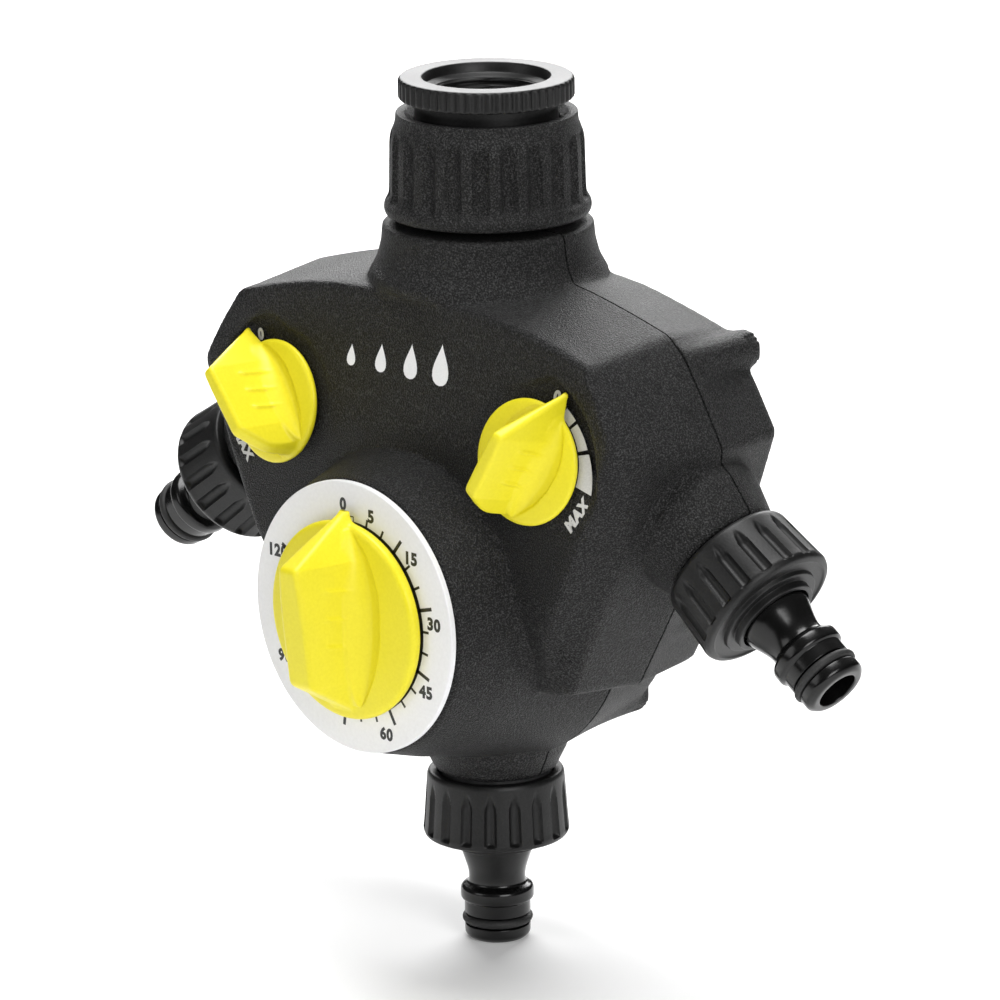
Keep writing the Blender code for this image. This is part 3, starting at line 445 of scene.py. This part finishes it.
def pocket_radius(up, across):
    """The recess round a side knob widens over its printed scale."""
    turn = np.arctan2(across, up)
    reach = np.abs(turn - SCALE_MIDDLE)
    return POCKET_R + POCKET_LOBE * (1 - smooth_step(reach, LOBE_FULL, LOBE_END))


def collar_fields(x, y, z):
    """Distances to the collars round the outlets, and to the holes through them."""
    collars, holes = [], []
    for name, base in COLLAR_BASES.items():
        place, axis = joint_place(name)
        radius, length = from_line(x, y, z, place, -axis)
        cone = radius - along(length, (COLLAR_START, base), (COLLAR_END_R, COLLAR_BASE_R))
        ends = np.maximum(COLLAR_START - length, length - base - COLLAR_ROOT)
        collars.append(smooth_max(cone * 0.96, ends, COLLAR_ROUND))
        holes.append(np.maximum(radius - STUB_HOLE_R, length - STUB_HOLE_END))
    return collars, holes


def boss_fields(x, y, z):
    """Distances to the screw bosses, and to their counterbored holes."""
    bosses, holes = [], []
    floor = SCREW_BOSS_END - COUNTERBORE_DEPTH
    for across, height in SCREW_PLACES:
        radius, length = from_line(x, y, z, (across, 0, height), (0, 1, 0))
        ends = np.maximum(length - SCREW_BOSS_END, SCREW_BOSS_START - length)
        bosses.append(smooth_max(radius - SCREW_BOSS_R, ends, SCREW_BOSS_ROUND))
        holes.append(np.maximum(radius - COUNTERBORE_R, floor - length))
        holes.append(np.maximum(radius - SCREW_HOLE_R, SCREW_HOLE_END - length))
    return bosses, holes


def pocket_fields(x, y, z):
    """Distances to the recess of the right knob, to the wall behind it and to the hole for the stem."""
    place, axis = joint_place("right_flow_turn")
    knob = basis(place, -axis, (0, 0, 1)).to_3x3()
    up, side = knob.col[0], -knob.col[1]
    radius, length = from_line(x, y, z, place, -axis)
    rise = (x - place.x) * up.x + (y - place.y) * up.y + (z - place.z) * up.z
    across = (x - place.x) * side.x + (y - place.y) * side.y + (z - place.z) * side.z
    rim = pocket_radius(rise, across)
    pocket = smooth_max(radius - rim, -POCKET_DEPTH - length, POCKET_ROUND)
    ends = np.maximum(-POCKET_DEPTH - WALL - length, length + 3)
    backing = np.maximum(radius - rim - POCKET_RIM, ends)
    return pocket, backing, np.maximum(radius - STEM_HOLE_R, STEM_HOLE_END - length)


def housing_field(x, y, z):
    """Distance to the hollow housing, for x >= 0; it is mirrored afterwards."""
    body = body_field(x, y, z)
    solid = smooth_min(body, bowl_field(x, y, z), BOWL_FILLET)
    solid = smooth_min(solid, neck_field(x, y, z), NECK_FILLET)
    hollow = np.minimum(body + WALL, bowl_field(x, y, z, WALL))
    hollow = smooth_min(hollow, neck_field(x, y, z, WALL), NECK_FILLET)
    collars, collar_holes = collar_fields(x, y, z)
    bosses, boss_holes = boss_fields(x, y, z)
    pocket, backing, stem_hole = pocket_fields(x, y, z)
    neck_hole = np.maximum(np.hypot(x, y) - NECK_HOLE_R + 0 * z, NECK_HOLE_END - z)
    dial_hole = np.maximum(np.hypot(x, z - DIAL_Z) - DIAL_HOLE_R + 0 * y, y - DIAL_HOLE_END)
    for collar in collars:
        solid = smooth_min(solid, collar, COLLAR_FILLET)
    for boss in bosses:
        solid = smooth_min(solid, boss, SCREW_BOSS_FILLET)
    solid = smooth_max(solid, -pocket, POCKET_RIM_ROUND)
    shell = smooth_max(solid, -hollow, INNER_EDGE)
    for filled in (*bosses, backing):
        shell = np.minimum(shell, np.maximum(filled, solid))
    for hole in (*collar_holes, *boss_holes, stem_hole, neck_hole, dial_hole):
        shell = smooth_max(shell, -hole, HOLE_EDGE)
    return shell


def half_shell(name, points, faces, sign):
    """One side of the housing: the closed mesh is cut at the seam and the cut is filled."""
    obj = mesh_object(name, points, faces, "housing_black")
    bm = bmesh.new()
    bm.from_mesh(obj.data)
    at = (0, sign * SEAM_GAP / 2 * MM, 0)
    geometry = bm.verts[:] + bm.edges[:] + bm.faces[:]
    bmesh.ops.bisect_plane(bm, geom=geometry, plane_co=at, plane_no=(0, -sign, 0), clear_outer=True)
    rim = [edge for edge in bm.edges if edge.is_boundary]
    for edge in rim:
        edge.smooth = False
    filled = bmesh.ops.triangle_fill(bm, edges=rim, use_beauty=True, use_dissolve=False)
    caps = [item for item in filled["geom"] if isinstance(item, bmesh.types.BMFace)]
    for cap in caps:
        cap.smooth = False
        cap.normal_update()
        if cap.normal.y * sign > 0:
            cap.normal_flip()
    bm.to_mesh(obj.data)
    bm.free()
    return obj


def make_housing():
    """Both halves of the housing, from one field that is mirrored at x = 0."""
    half = housing_field(*grid_axes(HOUSING_LOW, HOUSING_HIGH, HOUSING_STEP))
    whole = np.concatenate([half[:0:-1], half])
    start = (-HOUSING_STEP * (half.shape[0] - 1), *HOUSING_LOW[1:])
    points, faces = surface_net(whole, start, HOUSING_STEP)
    for name, sign in (("front_shell", -1), ("rear_shell", 1)):
        dress(half_shell(f"{name}_moulding", points, faces, sign), "housing", "housing_black", name)


# ---------------------------------------------------------------- knobs
TOP_PINCH, FOOT_PINCH = 0.72, 0.62      # shares of its widths that the blade loses at the pointer
LENS_LEAST = 0.02      # the scoops end where their outline is this narrow
SLOPE_SCALE = 0.85      # keeps the fields of sloping faces near true distances
LEAST_DOME = 0.3      # share of the dome that the scoops leave
RIDGE_LIFT, RIDGE_HALF, RIDGE_LEAN, RIDGE_FADE = 0.42, 0.42, 0.10, (0.50, 0.62)
DISC_BACK_ROUND, BLADE_BACK_ROUND, UNDERCUT_ROUND, BLADE_FILLET = 0.6, 0.5, 0.4, 0.7


def slope_through(s, h, start, end):
    """Distance past the line from start to end, on its left side."""
    run, rise = end[0] - start[0], end[1] - start[1]
    length = hypot(run, rise)
    return ((s - start[0]) * -rise + (h - start[1]) * run) / length


def blade_widths(s, size):
    """Half widths of the blade at its top and its foot, which narrow towards the pointer."""
    taper = np.clip(s / size["blade"][0][0], 0, 1) ** 2
    return size["top_half"] * (1 - TOP_PINCH * taper), size["crease_half"] * (1 - FOOT_PINCH * taper)


def disc_field(s, w, h, size):
    """Distance to the domed disc, with a scoop on both sides of the blade."""
    _, crease = blade_widths(s, size)
    r = np.hypot(s, w)
    wide = np.abs(w)
    dome = size["crown"] * (1 - (r / size["radius"]) ** 2)
    bow = 1 - ((s - size["lens_middle"]) / size["lens_half"]) ** 2
    lens = crease + (size["lens_reach"] - crease) * np.clip(bow, LENS_LEAST, 1)
    share = np.clip((wide - crease) / (lens - crease), 0, 1)
    scoop = size["crease_height"] * np.clip(bow, 0, 1) ** 0.5 * (1 - share) ** 3.0
    scoop = scoop + size["scoop_floor"] * share
    inside = (wide < lens) & (bow > LENS_LEAST)
    top = np.where(inside, np.maximum(scoop, LEAST_DOME * dome), dome)
    side = (r - size["radius"] - (h + 0.4) * size["undercut"]) * SLOPE_SCALE
    rim = smooth_max(r - size["radius"], side, UNDERCUT_ROUND)
    rim = smooth_max(rim, (h - top) * SLOPE_SCALE, size["rim_round"])
    return smooth_max(rim, -size["back"] - h, DISC_BACK_ROUND)


def blade_field(s, w, h, size):
    """Distance to the blade: two leaning walls with grip ridges, under sloping top faces."""
    tip, peak = size["blade"][:2]
    edge, crease_h = size["edge_round"], size["crease_height"]
    width, _ = blade_widths(s, size)
    ridge_line = np.interp(s, *zip(*size["blade"][::-1]))
    spread = (size["crease_half"] - size["top_half"]) / (peak[1] - crease_h)
    wall = np.abs(w) - width - (ridge_line - h) * spread
    fade = 1 - smooth_step(h, RIDGE_FADE[0] * peak[1], RIDGE_FADE[1] * peak[1])
    for place in size["ridges"]:
        lift = RIDGE_LIFT * np.exp(-((s - place - RIDGE_LEAN * (h - crease_h)) / RIDGE_HALF) ** 2)
        wall = wall - lift * fade
    top_face = slope_through(s, h, peak, tip)
    for start, end in zip(size["blade"][1:], size["blade"][2:]):
        top_face = smooth_max(top_face, slope_through(s, h, end, start), edge)
    blade = smooth_max(top_face, wall * 0.97, edge)
    return smooth_max(blade, -size["back"] * 0.7 - h, BLADE_BACK_ROUND)


def knob_field(s, w, h, size):
    """A domed disc with a tall blade; s runs to the pointer, w across and h out of the face."""
    return smooth_min(disc_field(s, w, h, size), blade_field(s, w, h, size), BLADE_FILLET)


# "blade" is its side view from the pointer's tip over the peak to the tail, as (s, h)
TIMER_KNOB = {
    "radius": 23.3, "back": 2.9, "crown": 1.5,
    "blade": [(24.4, 0.9), (15.3, 16.9), (-12.8, 13.3), (-20.5, 0.0)],
    "top_half": 3.7, "crease_half": 6.2, "crease_height": 4.75, "lens_reach": 13.2,
    "lens_middle": 1.6, "lens_half": 20.8, "scoop_floor": 0.1, "ridges": (9.0, 2.5, -4.0), "rim_round": 1.6,
    "edge_round": 1.1, "undercut": 0.3,
}
SIDE_KNOB = {
    "radius": 14.7, "back": 1.9, "crown": 1.2,
    "blade": [(18.3, 0.9), (8.8, 16.0), (-7.6, 14.4), (-12.4, 7.6), (-13.7, -1.0)],
    "top_half": 1.7, "crease_half": 3.9, "crease_height": 4.2, "lens_reach": 9.0,
    "lens_middle": 1.0, "lens_half": 13.6, "scoop_floor": 0.0, "ridges": (5.6, 1.2, -3.2), "rim_round": 1.5,
    "edge_round": 0.9, "undercut": 0.8,
}


def knob_mesh(size):
    """Points and quads of a knob, in its own s, w and h."""
    reach = size["radius"] + 1.0
    tip, peak = size["blade"][:2]
    low = (-reach, -reach, -size["back"] - 1.0)
    high = (tip[0] + 1.0, reach, peak[1] + 1.0)
    axes = grid_axes(low, high, KNOB_STEP)
    return surface_net(knob_field(*axes, size), low, KNOB_STEP)


def make_knobs():
    """The timer knob, and one side knob mesh placed twice."""
    place, axis = joint_place("timer_knob_turn")
    points, faces = knob_mesh(TIMER_KNOB)
    knob = mesh_object("timer_knob_moulding", points, faces, "knob_yellow", basis(place, -axis, (0, 0, 1)))
    dress(knob, "timer_drive", "knob_yellow", "timer_knob")
    points, faces = knob_mesh(SIDE_KNOB)
    for word, turn in (("left", LEFT_POINTER), ("right", RIGHT_POINTER)):
        place, axis = joint_place(f"{word}_flow_turn")
        matrix = basis(place, -axis, (sin(turn), 0, cos(turn)))
        knob = mesh_object(f"{word}_knob_moulding", points, faces, "knob_yellow", matrix)
        dress(knob, f"{word}_flow_valve", "knob_yellow", f"{word}_knob")


# ---------------------------------------------------------------- inlet
GRIP_WALL = 2.6      # grooves leave alone whatever lies deeper than this


def grooves(count, half_width, depth, low, high, fade, at_radius, point=0.0):
    """Relief for grip grooves between two heights, outside a piece; point narrows their tops."""
    def relief(radius, height, angle):
        pitch = 2 * pi / count
        narrow = np.clip((high - height) / point, 0.05, 1) ** 0.7 if point else 1.0
        offset = (np.mod(angle + pitch / 2, pitch) - pitch / 2) * at_radius / half_width / narrow
        across = np.sqrt(np.clip(1 - offset * offset, 0, 1))
        ending = smooth_step(height, high - max(fade, point), high)
        reach = smooth_step(height, low, low + fade) * (1 - ending)
        outside = radius > at_radius - GRIP_WALL
        return radius - depth * across * reach * outside
    return relief


def make_inlet():
    """The swivel nut over the neck, and the threaded adapter in it."""
    upright = Matrix.Identity(4)
    nut = [(13.6, -31.5), (22.9, -31.5, 0.8), (23.6, -30.6, 0.9), (23.6, -28.9, 1.2), (22.4, -27.0, 1.6),
           (22.1, -13.2, 2.2), (20.8, -10.6, 1.4), (20.65, -8.0, 0.5), (18.6, -8.0, 0.5), (16.7, -10.0, 0.4),
           (16.7, -28.3), (13.6, -28.3)]
    grip = grooves(count=22, half_width=1.75, depth=1.25, low=-28.6, high=-11.6, fade=2.4, at_radius=22.1)
    piece = turned("inlet_nut_moulding", nut, "housing_black", upright, 352, grip, 0.6)
    dress(piece, "inlet_coupling", "housing_black", "inlet_nut")
    rim_grip = grooves(count=54, half_width=0.62, depth=0.55, low=-5.2, high=0.0, fade=0.9, at_radius=20.0)

    def ribs_and_thread(radius, height, angle):
        ribs = rim_grip(radius, height, angle)
        phase = np.abs(np.mod(height / TAP_THREAD_PITCH + angle / (2 * pi), 1.0) - 0.5) * 2
        inside = (np.abs(radius - TAP_THREAD_R) < 0.05) & (height < TAP_THREAD_TOP)
        inside = inside & (height > TAP_THREAD_BOTTOM)
        return ribs + inside * (phase - 0.5) * TAP_THREAD_DEPTH

    adapter = [(9.5, -22.9), (16.3, -22.9, 0.5), (16.3, -5.0), (19.5, -5.0, 0.3), (20.0, -4.5, 0.3),
               (20.0, -0.6, 0.4), (19.4, 0.0, 0.3), (14.7, 0.0, 0.3), (14.3, -1.0, 0.3), (14.0, -2.2, 0.2),
               (TAP_THREAD_R, -3.0, 0.2), (TAP_THREAD_R, -14.0), (9.5, -14.0)]
    piece = turned("inlet_adapter_moulding", adapter, "nut_black", upright, 432, ribs_and_thread, 0.35)
    dress(piece, "housing", "nut_black", "inlet_adapter")


# ---------------------------------------------------------------- outlets
def make_outlets():
    """Nut, hose nipple and seal of each outlet, with heights counted inwards from the nut's joint."""
    tip = -NIPPLE_OUT
    nut = [(8.9, -2.5, 0.2), (10.15, -2.5, 0.4), (10.15, -0.7, 0.2), (12.2, -0.7, 0.3), (12.4, 0.4, 0.2),
           (14.8, 0.4, 0.2), (15.2, 0.0, 0.2), (16.5, 0.4, 0.5), (17.0, 1.6, 0.5), (16.8, 3.0, 0.8),
           (15.9, 15.2, 0.5), (15.4, 16.0, 0.4), (13.7, 16.0), (13.7, 3.0), (8.9, 3.0)]
    nipple = [(4.8, tip, 0.4), (6.5, tip, 0.5), (7.65, tip + 1.1, 0.6), (7.65, tip + 3.3, 0.2),
              (6.4, tip + 3.3), (6.4, tip + 6.0), (7.65, tip + 6.0, 0.2), (7.65, tip + 9.0, 0.2),
              (8.5, tip + 9.6, 0.6), (8.5, tip + 12.4, 0.8), (6.6, tip + 13.4, 0.6), (6.5, tip + 16.0, 2.0),
              (8.4, tip + 21.6, 1.5), (8.5, 3.3), (12.6, 3.3), (12.6, 5.5), (4.8, 5.5)]
    ring_r, ring_half, ring_height = 7.2, 1.0, tip + 4.65
    seal = [(ring_r + ring_half * cos(a), ring_height + ring_half * sin(a))
            for a in (2 * pi * k / 16 for k in range(16))]
    grip = grooves(count=18, half_width=1.35, depth=1.15, low=1.3, high=14.2, fade=0.9, at_radius=16.6,
                   point=4.0)
    for word in ("left", "right", "bottom"):
        place, axis = joint_place(f"{word}_nut_turn")
        matrix = basis(place, -axis, (0, 1, 0))
        piece = turned(f"{word}_outlet_nut_moulding", nut, "nut_black", matrix, 432, grip, 0.6)
        dress(piece, f"{word}_coupling", "nut_black", f"{word}_outlet_nut")
        piece = turned(f"{word}_nipple_moulding", nipple, "gloss_black", matrix, 96)
        dress(piece, "housing", "gloss_black", f"{word}_nipple")
        piece = turned(f"{word}_nipple_seal", seal, "seal_rubber", matrix, 96)
        dress(piece, "housing", "seal_rubber", f"{word}_nipple_o_ring")


# ---------------------------------------------------------------- dial and prints
PRINT_LIFT, PRINT_ROOT = 0.03, 0.03
FONT_SIZE = 10.0
DIGIT_HEIGHT, SCALE_TEXT_HEIGHT = 3.1, 2.9
DIAL_WEIGHT, SCALE_WEIGHT = 0.05, 0.06


def clock_point(turn, radius):
    """The point at a turn clockwise from up."""
    return radius * sin(turn), radius * cos(turn)


def plate(points_2d):
    """A thin closed plate from a flat outline: points and faces."""
    count = len(points_2d)
    points = [(x, y, h) for h in (-PRINT_ROOT, PRINT_LIFT) for x, y in points_2d]
    faces = [list(range(count))[::-1], list(range(count, 2 * count))]
    faces += [[i, (i + 1) % count, count + (i + 1) % count, count + i] for i in range(count)]
    return points, faces


def arc_plate(inner, outer, start, end, taper=0.0):
    """A piece of a ring between two clockwise angles; taper narrows its start, or its end if negative."""
    steps = max(3, int(degrees(end - start) / 4))
    turns = [start + (end - start) * k / steps for k in range(steps + 1)]
    narrowed = [1 - k / steps if taper > 0 else k / steps for k in range(steps + 1)]
    outside = [(outer - abs(taper) * share, turn) for share, turn in zip(narrowed, turns)]
    inside = [(inner, turn) for turn in turns[::-1]]
    return plate([clock_point(turn, radius) for radius, turn in outside + inside][::-1])


def text_plate(words, height, place, turn, weight, lean=0.0):
    """Thin raised lettering of a given cap height, centred on place and turned clockwise."""
    curve = bpy.data.curves.new("lettering", "FONT")
    curve.body = words
    curve.size = FONT_SIZE
    curve.offset = weight * FONT_SIZE
    curve.shear = lean
    curve.space_character = 1.0 + 2.2 * weight
    curve.resolution_u = 4
    obj = bpy.data.objects.new("lettering", curve)
    bpy.context.scene.collection.objects.link(obj)
    bpy.context.view_layer.update()
    mesh = bpy.data.meshes.new_from_object(obj.evaluated_get(bpy.context.evaluated_depsgraph_get()))
    bpy.data.objects.remove(obj)
    flat = bmesh.new()
    flat.from_mesh(mesh)
    bmesh.ops.remove_doubles(flat, verts=flat.verts, dist=1e-4)
    low = Vector((min(v.co.x for v in flat.verts), min(v.co.y for v in flat.verts)))
    high = Vector((max(v.co.x for v in flat.verts), max(v.co.y for v in flat.verts)))
    scale = height / (high.y - low.y)
    middle = (low + high) / 2
    for vert in flat.verts:
        x, y = (vert.co.x - middle.x) * scale, (vert.co.y - middle.y) * scale
        across, up = x * cos(turn) + y * sin(turn), y * cos(turn) - x * sin(turn)
        vert.co = (place[0] + across, place[1] + up, PRINT_LIFT)
    bmesh.ops.recalc_face_normals(flat, faces=flat.faces)
    if sum(face.normal.z for face in flat.faces) <= 0:
        bmesh.ops.reverse_faces(flat, faces=flat.faces)
    lower = bmesh.ops.extrude_face_region(flat, geom=flat.faces[:], use_keep_orig=True)["geom"]
    bottom = [item for item in lower if isinstance(item, bmesh.types.BMVert)]
    for vert in bottom:
        vert.co.z = -PRINT_ROOT
    bmesh.ops.recalc_face_normals(flat, faces=flat.faces)
    flat.verts.index_update()
    points = [tuple(v.co) for v in flat.verts]
    faces = [[v.index for v in face.verts] for face in flat.faces]
    flat.free()
    return points, faces


def printed(name, plates, material, matrix):
    """Joins thin plates into one flat-shaded print."""
    points, faces = [], []
    for some_points, some_faces in plates:
        base = len(points)
        points += some_points
        faces += [[base + i for i in face] for face in some_faces]
    obj = mesh_object(name, points, faces, material, matrix)
    obj.data.shade_flat()
    return obj


def tick(turn, inner, outer, width):
    """A radial mark, turn clockwise from up."""
    across = Vector((cos(turn), -sin(turn))) * width / 2
    out = Vector((sin(turn), cos(turn)))
    corners = [out * inner - across, out * inner + across, out * outer + across, out * outer - across]
    return plate([tuple(c) for c in corners])


MINUTE = radians(2.5)      # turn of the knob for each minute
HUB_HOLE_R = 5.6
# where each number of minutes is printed, from the dial's middle
DIAL_LABELS = {0: (-2.5, 26.1), 5: (6.4, 24.7), 15: (19.2, 17.3), 30: (26.0, 3.3), 45: (23.0, -13.0),
               60: (10.2, -25.4), 90: (-22.6, -13.5), 120: (-23.9, 11.2)}


def make_dial():
    """The white disc, and its print: a ring, a mark for each five minutes, numbers and a start bracket."""
    matrix = basis((0, 0, DIAL_Z), (0, 1, 0), (1, 0, 0))
    disc = [(HUB_HOLE_R, DIAL_FRONT), (DIAL_R, DIAL_FRONT, 0.4), (DIAL_R, DIAL_BACK, 0.2),
            (HUB_HOLE_R, DIAL_BACK)]
    dress(turned("dial_disc", disc, "dial_white", matrix, 180), "housing", "dial_white", "dial_plate")
    marks = [arc_plate(20.6, 22.6, 0.0, 2 * pi)]
    for minute in range(5, 125, 5):
        outer, width = (26.2, 0.85) if minute % 15 == 0 else (24.3, 0.6)
        marks.append(tick(minute * MINUTE, 22.0, outer, width))
    for minute, place in DIAL_LABELS.items():
        marks.append(text_plate(str(minute), DIGIT_HEIGHT, place, 0.0, DIAL_WEIGHT))
    bracket = ((-2.3, 23.75, 0.9, 23.5), (0.65, 23.75, 0.9, 22.0))      # left, top, right, bottom
    for left, top, right, bottom in bracket:
        marks.append(plate([(left, bottom), (right, bottom), (right, top), (left, top)]))
    face = basis((0, DIAL_FRONT, DIAL_Z), (0, -1, 0), (1, 0, 0))
    dress(printed("dial_print", marks, "print_black", face), "housing", "dial_white")


SCALE_ZEROS = {"left": 32, "right": 20}      # degrees from up, away from the middle of the housing
SCALE_ZERO_R, SCALE_BAND_R, SCALE_WORD_R = 16.6, 13.6, 17.1
SCALE_WORD_PAST_ZERO, SCALE_WORD_LEAN = 104, 0.15


def make_scales():
    """Flow scales on the floors of the side recesses: an opening wedge from 0 to the maximum."""
    for word, side in (("left", -1), ("right", 1)):
        zero = SCALE_ZEROS[word]
        place, axis = joint_place(f"{word}_flow_turn")
        matrix = basis(place + axis * POCKET_DEPTH, -axis, (1, 0, 0))
        at = clock_point(side * radians(zero), SCALE_ZERO_R)
        plates = [text_plate("0", SCALE_TEXT_HEIGHT, at, side * radians(zero * 0.6), SCALE_WEIGHT)]
        for start, end, outer, taper in SCALE_BANDS:
            angles = sorted(side * radians(zero + turn) for turn in (start, end))
            plates.append(arc_plate(SCALE_BAND_R, outer, *angles, taper * side))
        middle = zero + SCALE_WORD_PAST_ZERO
        at = clock_point(side * radians(middle), SCALE_WORD_R)
        plates.append(text_plate("MAX", SCALE_TEXT_HEIGHT, at, side * radians(middle - 180), SCALE_WEIGHT,
                                 SCALE_WORD_LEAN))
        dress(printed(f"{word}_scale_print", plates, "print_grey", matrix), "housing", "dial_white")


EMBLEM_X, EMBLEM_Z = -3.0, -60.5
DROP_HEIGHTS, DROP_SPACING, DROP_WIDTH_SHARE = (5.0, 6.5, 8.0, 9.5), 9.5, 0.78


def drop_outline(width, height, steps=20):
    """A water drop: a point at the top that widens to a round bottom."""
    points = []
    for k in range(steps):
        t = 2 * pi * k / steps
        points.append((width / 2 * sin(t) * sin(t / 2) ** 1.6, height / 2 * cos(t)))
    return points


def make_emblem():
    """A plain row of growing water drops between the side knobs, on one base line."""
    front = float(face_y(np.array(EMBLEM_Z)))
    matrix = basis((EMBLEM_X, front, EMBLEM_Z), (0, -cos(FACE_LEAN), sin(FACE_LEAN)), (1, 0, 0))
    middle = (len(DROP_HEIGHTS) - 1) / 2
    plates = []
    for k, height in enumerate(DROP_HEIGHTS):
        right, up = (k - middle) * DROP_SPACING, (height - DROP_HEIGHTS[-1]) / 2
        outline = [(x + right, y + up) for x, y in drop_outline(height * DROP_WIDTH_SHARE, height)]
        plates.append(plate(outline[::-1]))
    dress(printed("drop_emblem", plates, "print_white", matrix), "housing", "dial_white")


# ---------------------------------------------------------------- carried-over CAD nodes
def finish_cad_nodes():
    """Gives every CAD node its procedural finish."""
    for obj in frame["nodes"].values():
        slot = obj.data.materials[0].name.split(".")[0] if obj.data.materials else "grey_plastic"
        obj.data.materials.clear()
        obj.data.materials.append(MATERIALS.get(slot, MATERIALS["grey_plastic"]))


# ---------------------------------------------------------------- stage
CAMERA_AT = (1101.86, -1106.36, 329.35)
CAMERA_HEADING = radians(134.816)      # anticlockwise from +X, seen from above
CAMERA_PITCH = radians(-15.354)
CAMERA_ROLL = radians(-0.781)
LENS, SENSOR = 254.33, 36.0
WHITE = (1, 1, 1, 1)
FLOOR_HALF, FLOOR_GLOW = 1300, 0.1
SKY_STRENGTH = 0.2
LIGHT_TARGET = (0, 0, -110)
# place, size and power in watts of each soft box
SOFT_BOXES = {
    "key": ((1050, -380, 350), (600, 600), 6.9),
    "fill": ((-350, -1100, 350), (600, 600), 2.1),
    "back": ((-650, 750, 480), (1100, 650), 17),
    "top": ((0, 0, 800), (500, 500), 8),
}


def make_camera():
    """The view from the front right, from slightly above, with a long lens."""
    data = bpy.data.cameras.new("camera")
    data.lens, data.sensor_width = LENS, SENSOR
    data.clip_start, data.clip_end = 0.05, 50.0
    camera = bpy.data.objects.new("camera", data)
    turn = Matrix.Rotation(CAMERA_HEADING - pi / 2, 4, "Z") @ Matrix.Rotation(pi / 2 + CAMERA_PITCH, 4, "X")
    turn = turn @ Matrix.Rotation(CAMERA_ROLL, 4, "Z")
    camera.matrix_world = Matrix.Translation(Vector(CAMERA_AT) * MM) @ turn
    bpy.context.scene.collection.objects.link(camera)
    bpy.context.scene.camera = camera


def make_lights():
    """Soft boxes round the object, all aimed at its middle."""
    for name, (place, size, power) in SOFT_BOXES.items():
        data = bpy.data.lights.new(name, "AREA")
        data.shape = "RECTANGLE"
        data.size, data.size_y = size[0] * MM, size[1] * MM
        data.energy = power
        light = bpy.data.objects.new(name, data)
        light.location = Vector(place) * MM
        light.rotation_euler = (Vector(LIGHT_TARGET) - Vector(place)).to_track_quat("-Z", "Y").to_euler()
        bpy.context.scene.collection.objects.link(light)


def make_floor():
    """A pale floor under the bottom outlet, which glows a little to stay white."""
    MATERIALS["floor"] = finish("floor", 0.90, 0.92, 0.9, 40.0, 0.01)
    glow = MATERIALS["floor"].node_tree.nodes["Principled BSDF"].inputs
    glow["Emission Color"].default_value = WHITE
    glow["Emission Strength"].default_value = FLOOR_GLOW
    sides = ((-1, -1), (1, -1), (1, 1), (-1, 1))
    corners = [(FLOOR_HALF * x, FLOOR_HALF * y, FLOOR_Z) for x, y in sides]
    mesh_object("floor", corners, [(0, 1, 2, 3)], "floor")


def make_world():
    """A dim sky, brighter overhead, that lights the scene behind a white backdrop."""
    world = bpy.data.worlds.new("studio")
    bpy.context.scene.world = world
    world.use_nodes = True
    tree = world.node_tree
    sky = tree.nodes["Background"]
    direction = tree.nodes.new("ShaderNodeSeparateXYZ")
    tree.links.new(tree.nodes.new("ShaderNodeTexCoord").outputs["Generated"], direction.inputs[0])
    tree.links.new(ramp(tree, direction.outputs["Z"], 0.10, 1.0, 0.05, 0.95), sky.inputs["Color"])
    sky.inputs["Strength"].default_value = SKY_STRENGTH
    backdrop = tree.nodes.new("ShaderNodeBackground")
    backdrop.inputs["Color"].default_value = WHITE
    mixer = tree.nodes.new("ShaderNodeMixShader")
    tree.links.new(tree.nodes.new("ShaderNodeLightPath").outputs["Is Camera Ray"], mixer.inputs[0])
    tree.links.new(sky.outputs[0], mixer.inputs[1])
    tree.links.new(backdrop.outputs[0], mixer.inputs[2])
    tree.links.new(mixer.outputs[0], tree.nodes["World Output"].inputs["Surface"])
    bpy.context.scene.view_settings.view_transform = "Standard"


finish_cad_nodes()
make_housing()
make_knobs()
make_inlet()
make_outlets()
make_dial()
make_scales()
make_emblem()
make_camera()
make_floor()
make_world()
make_lights()
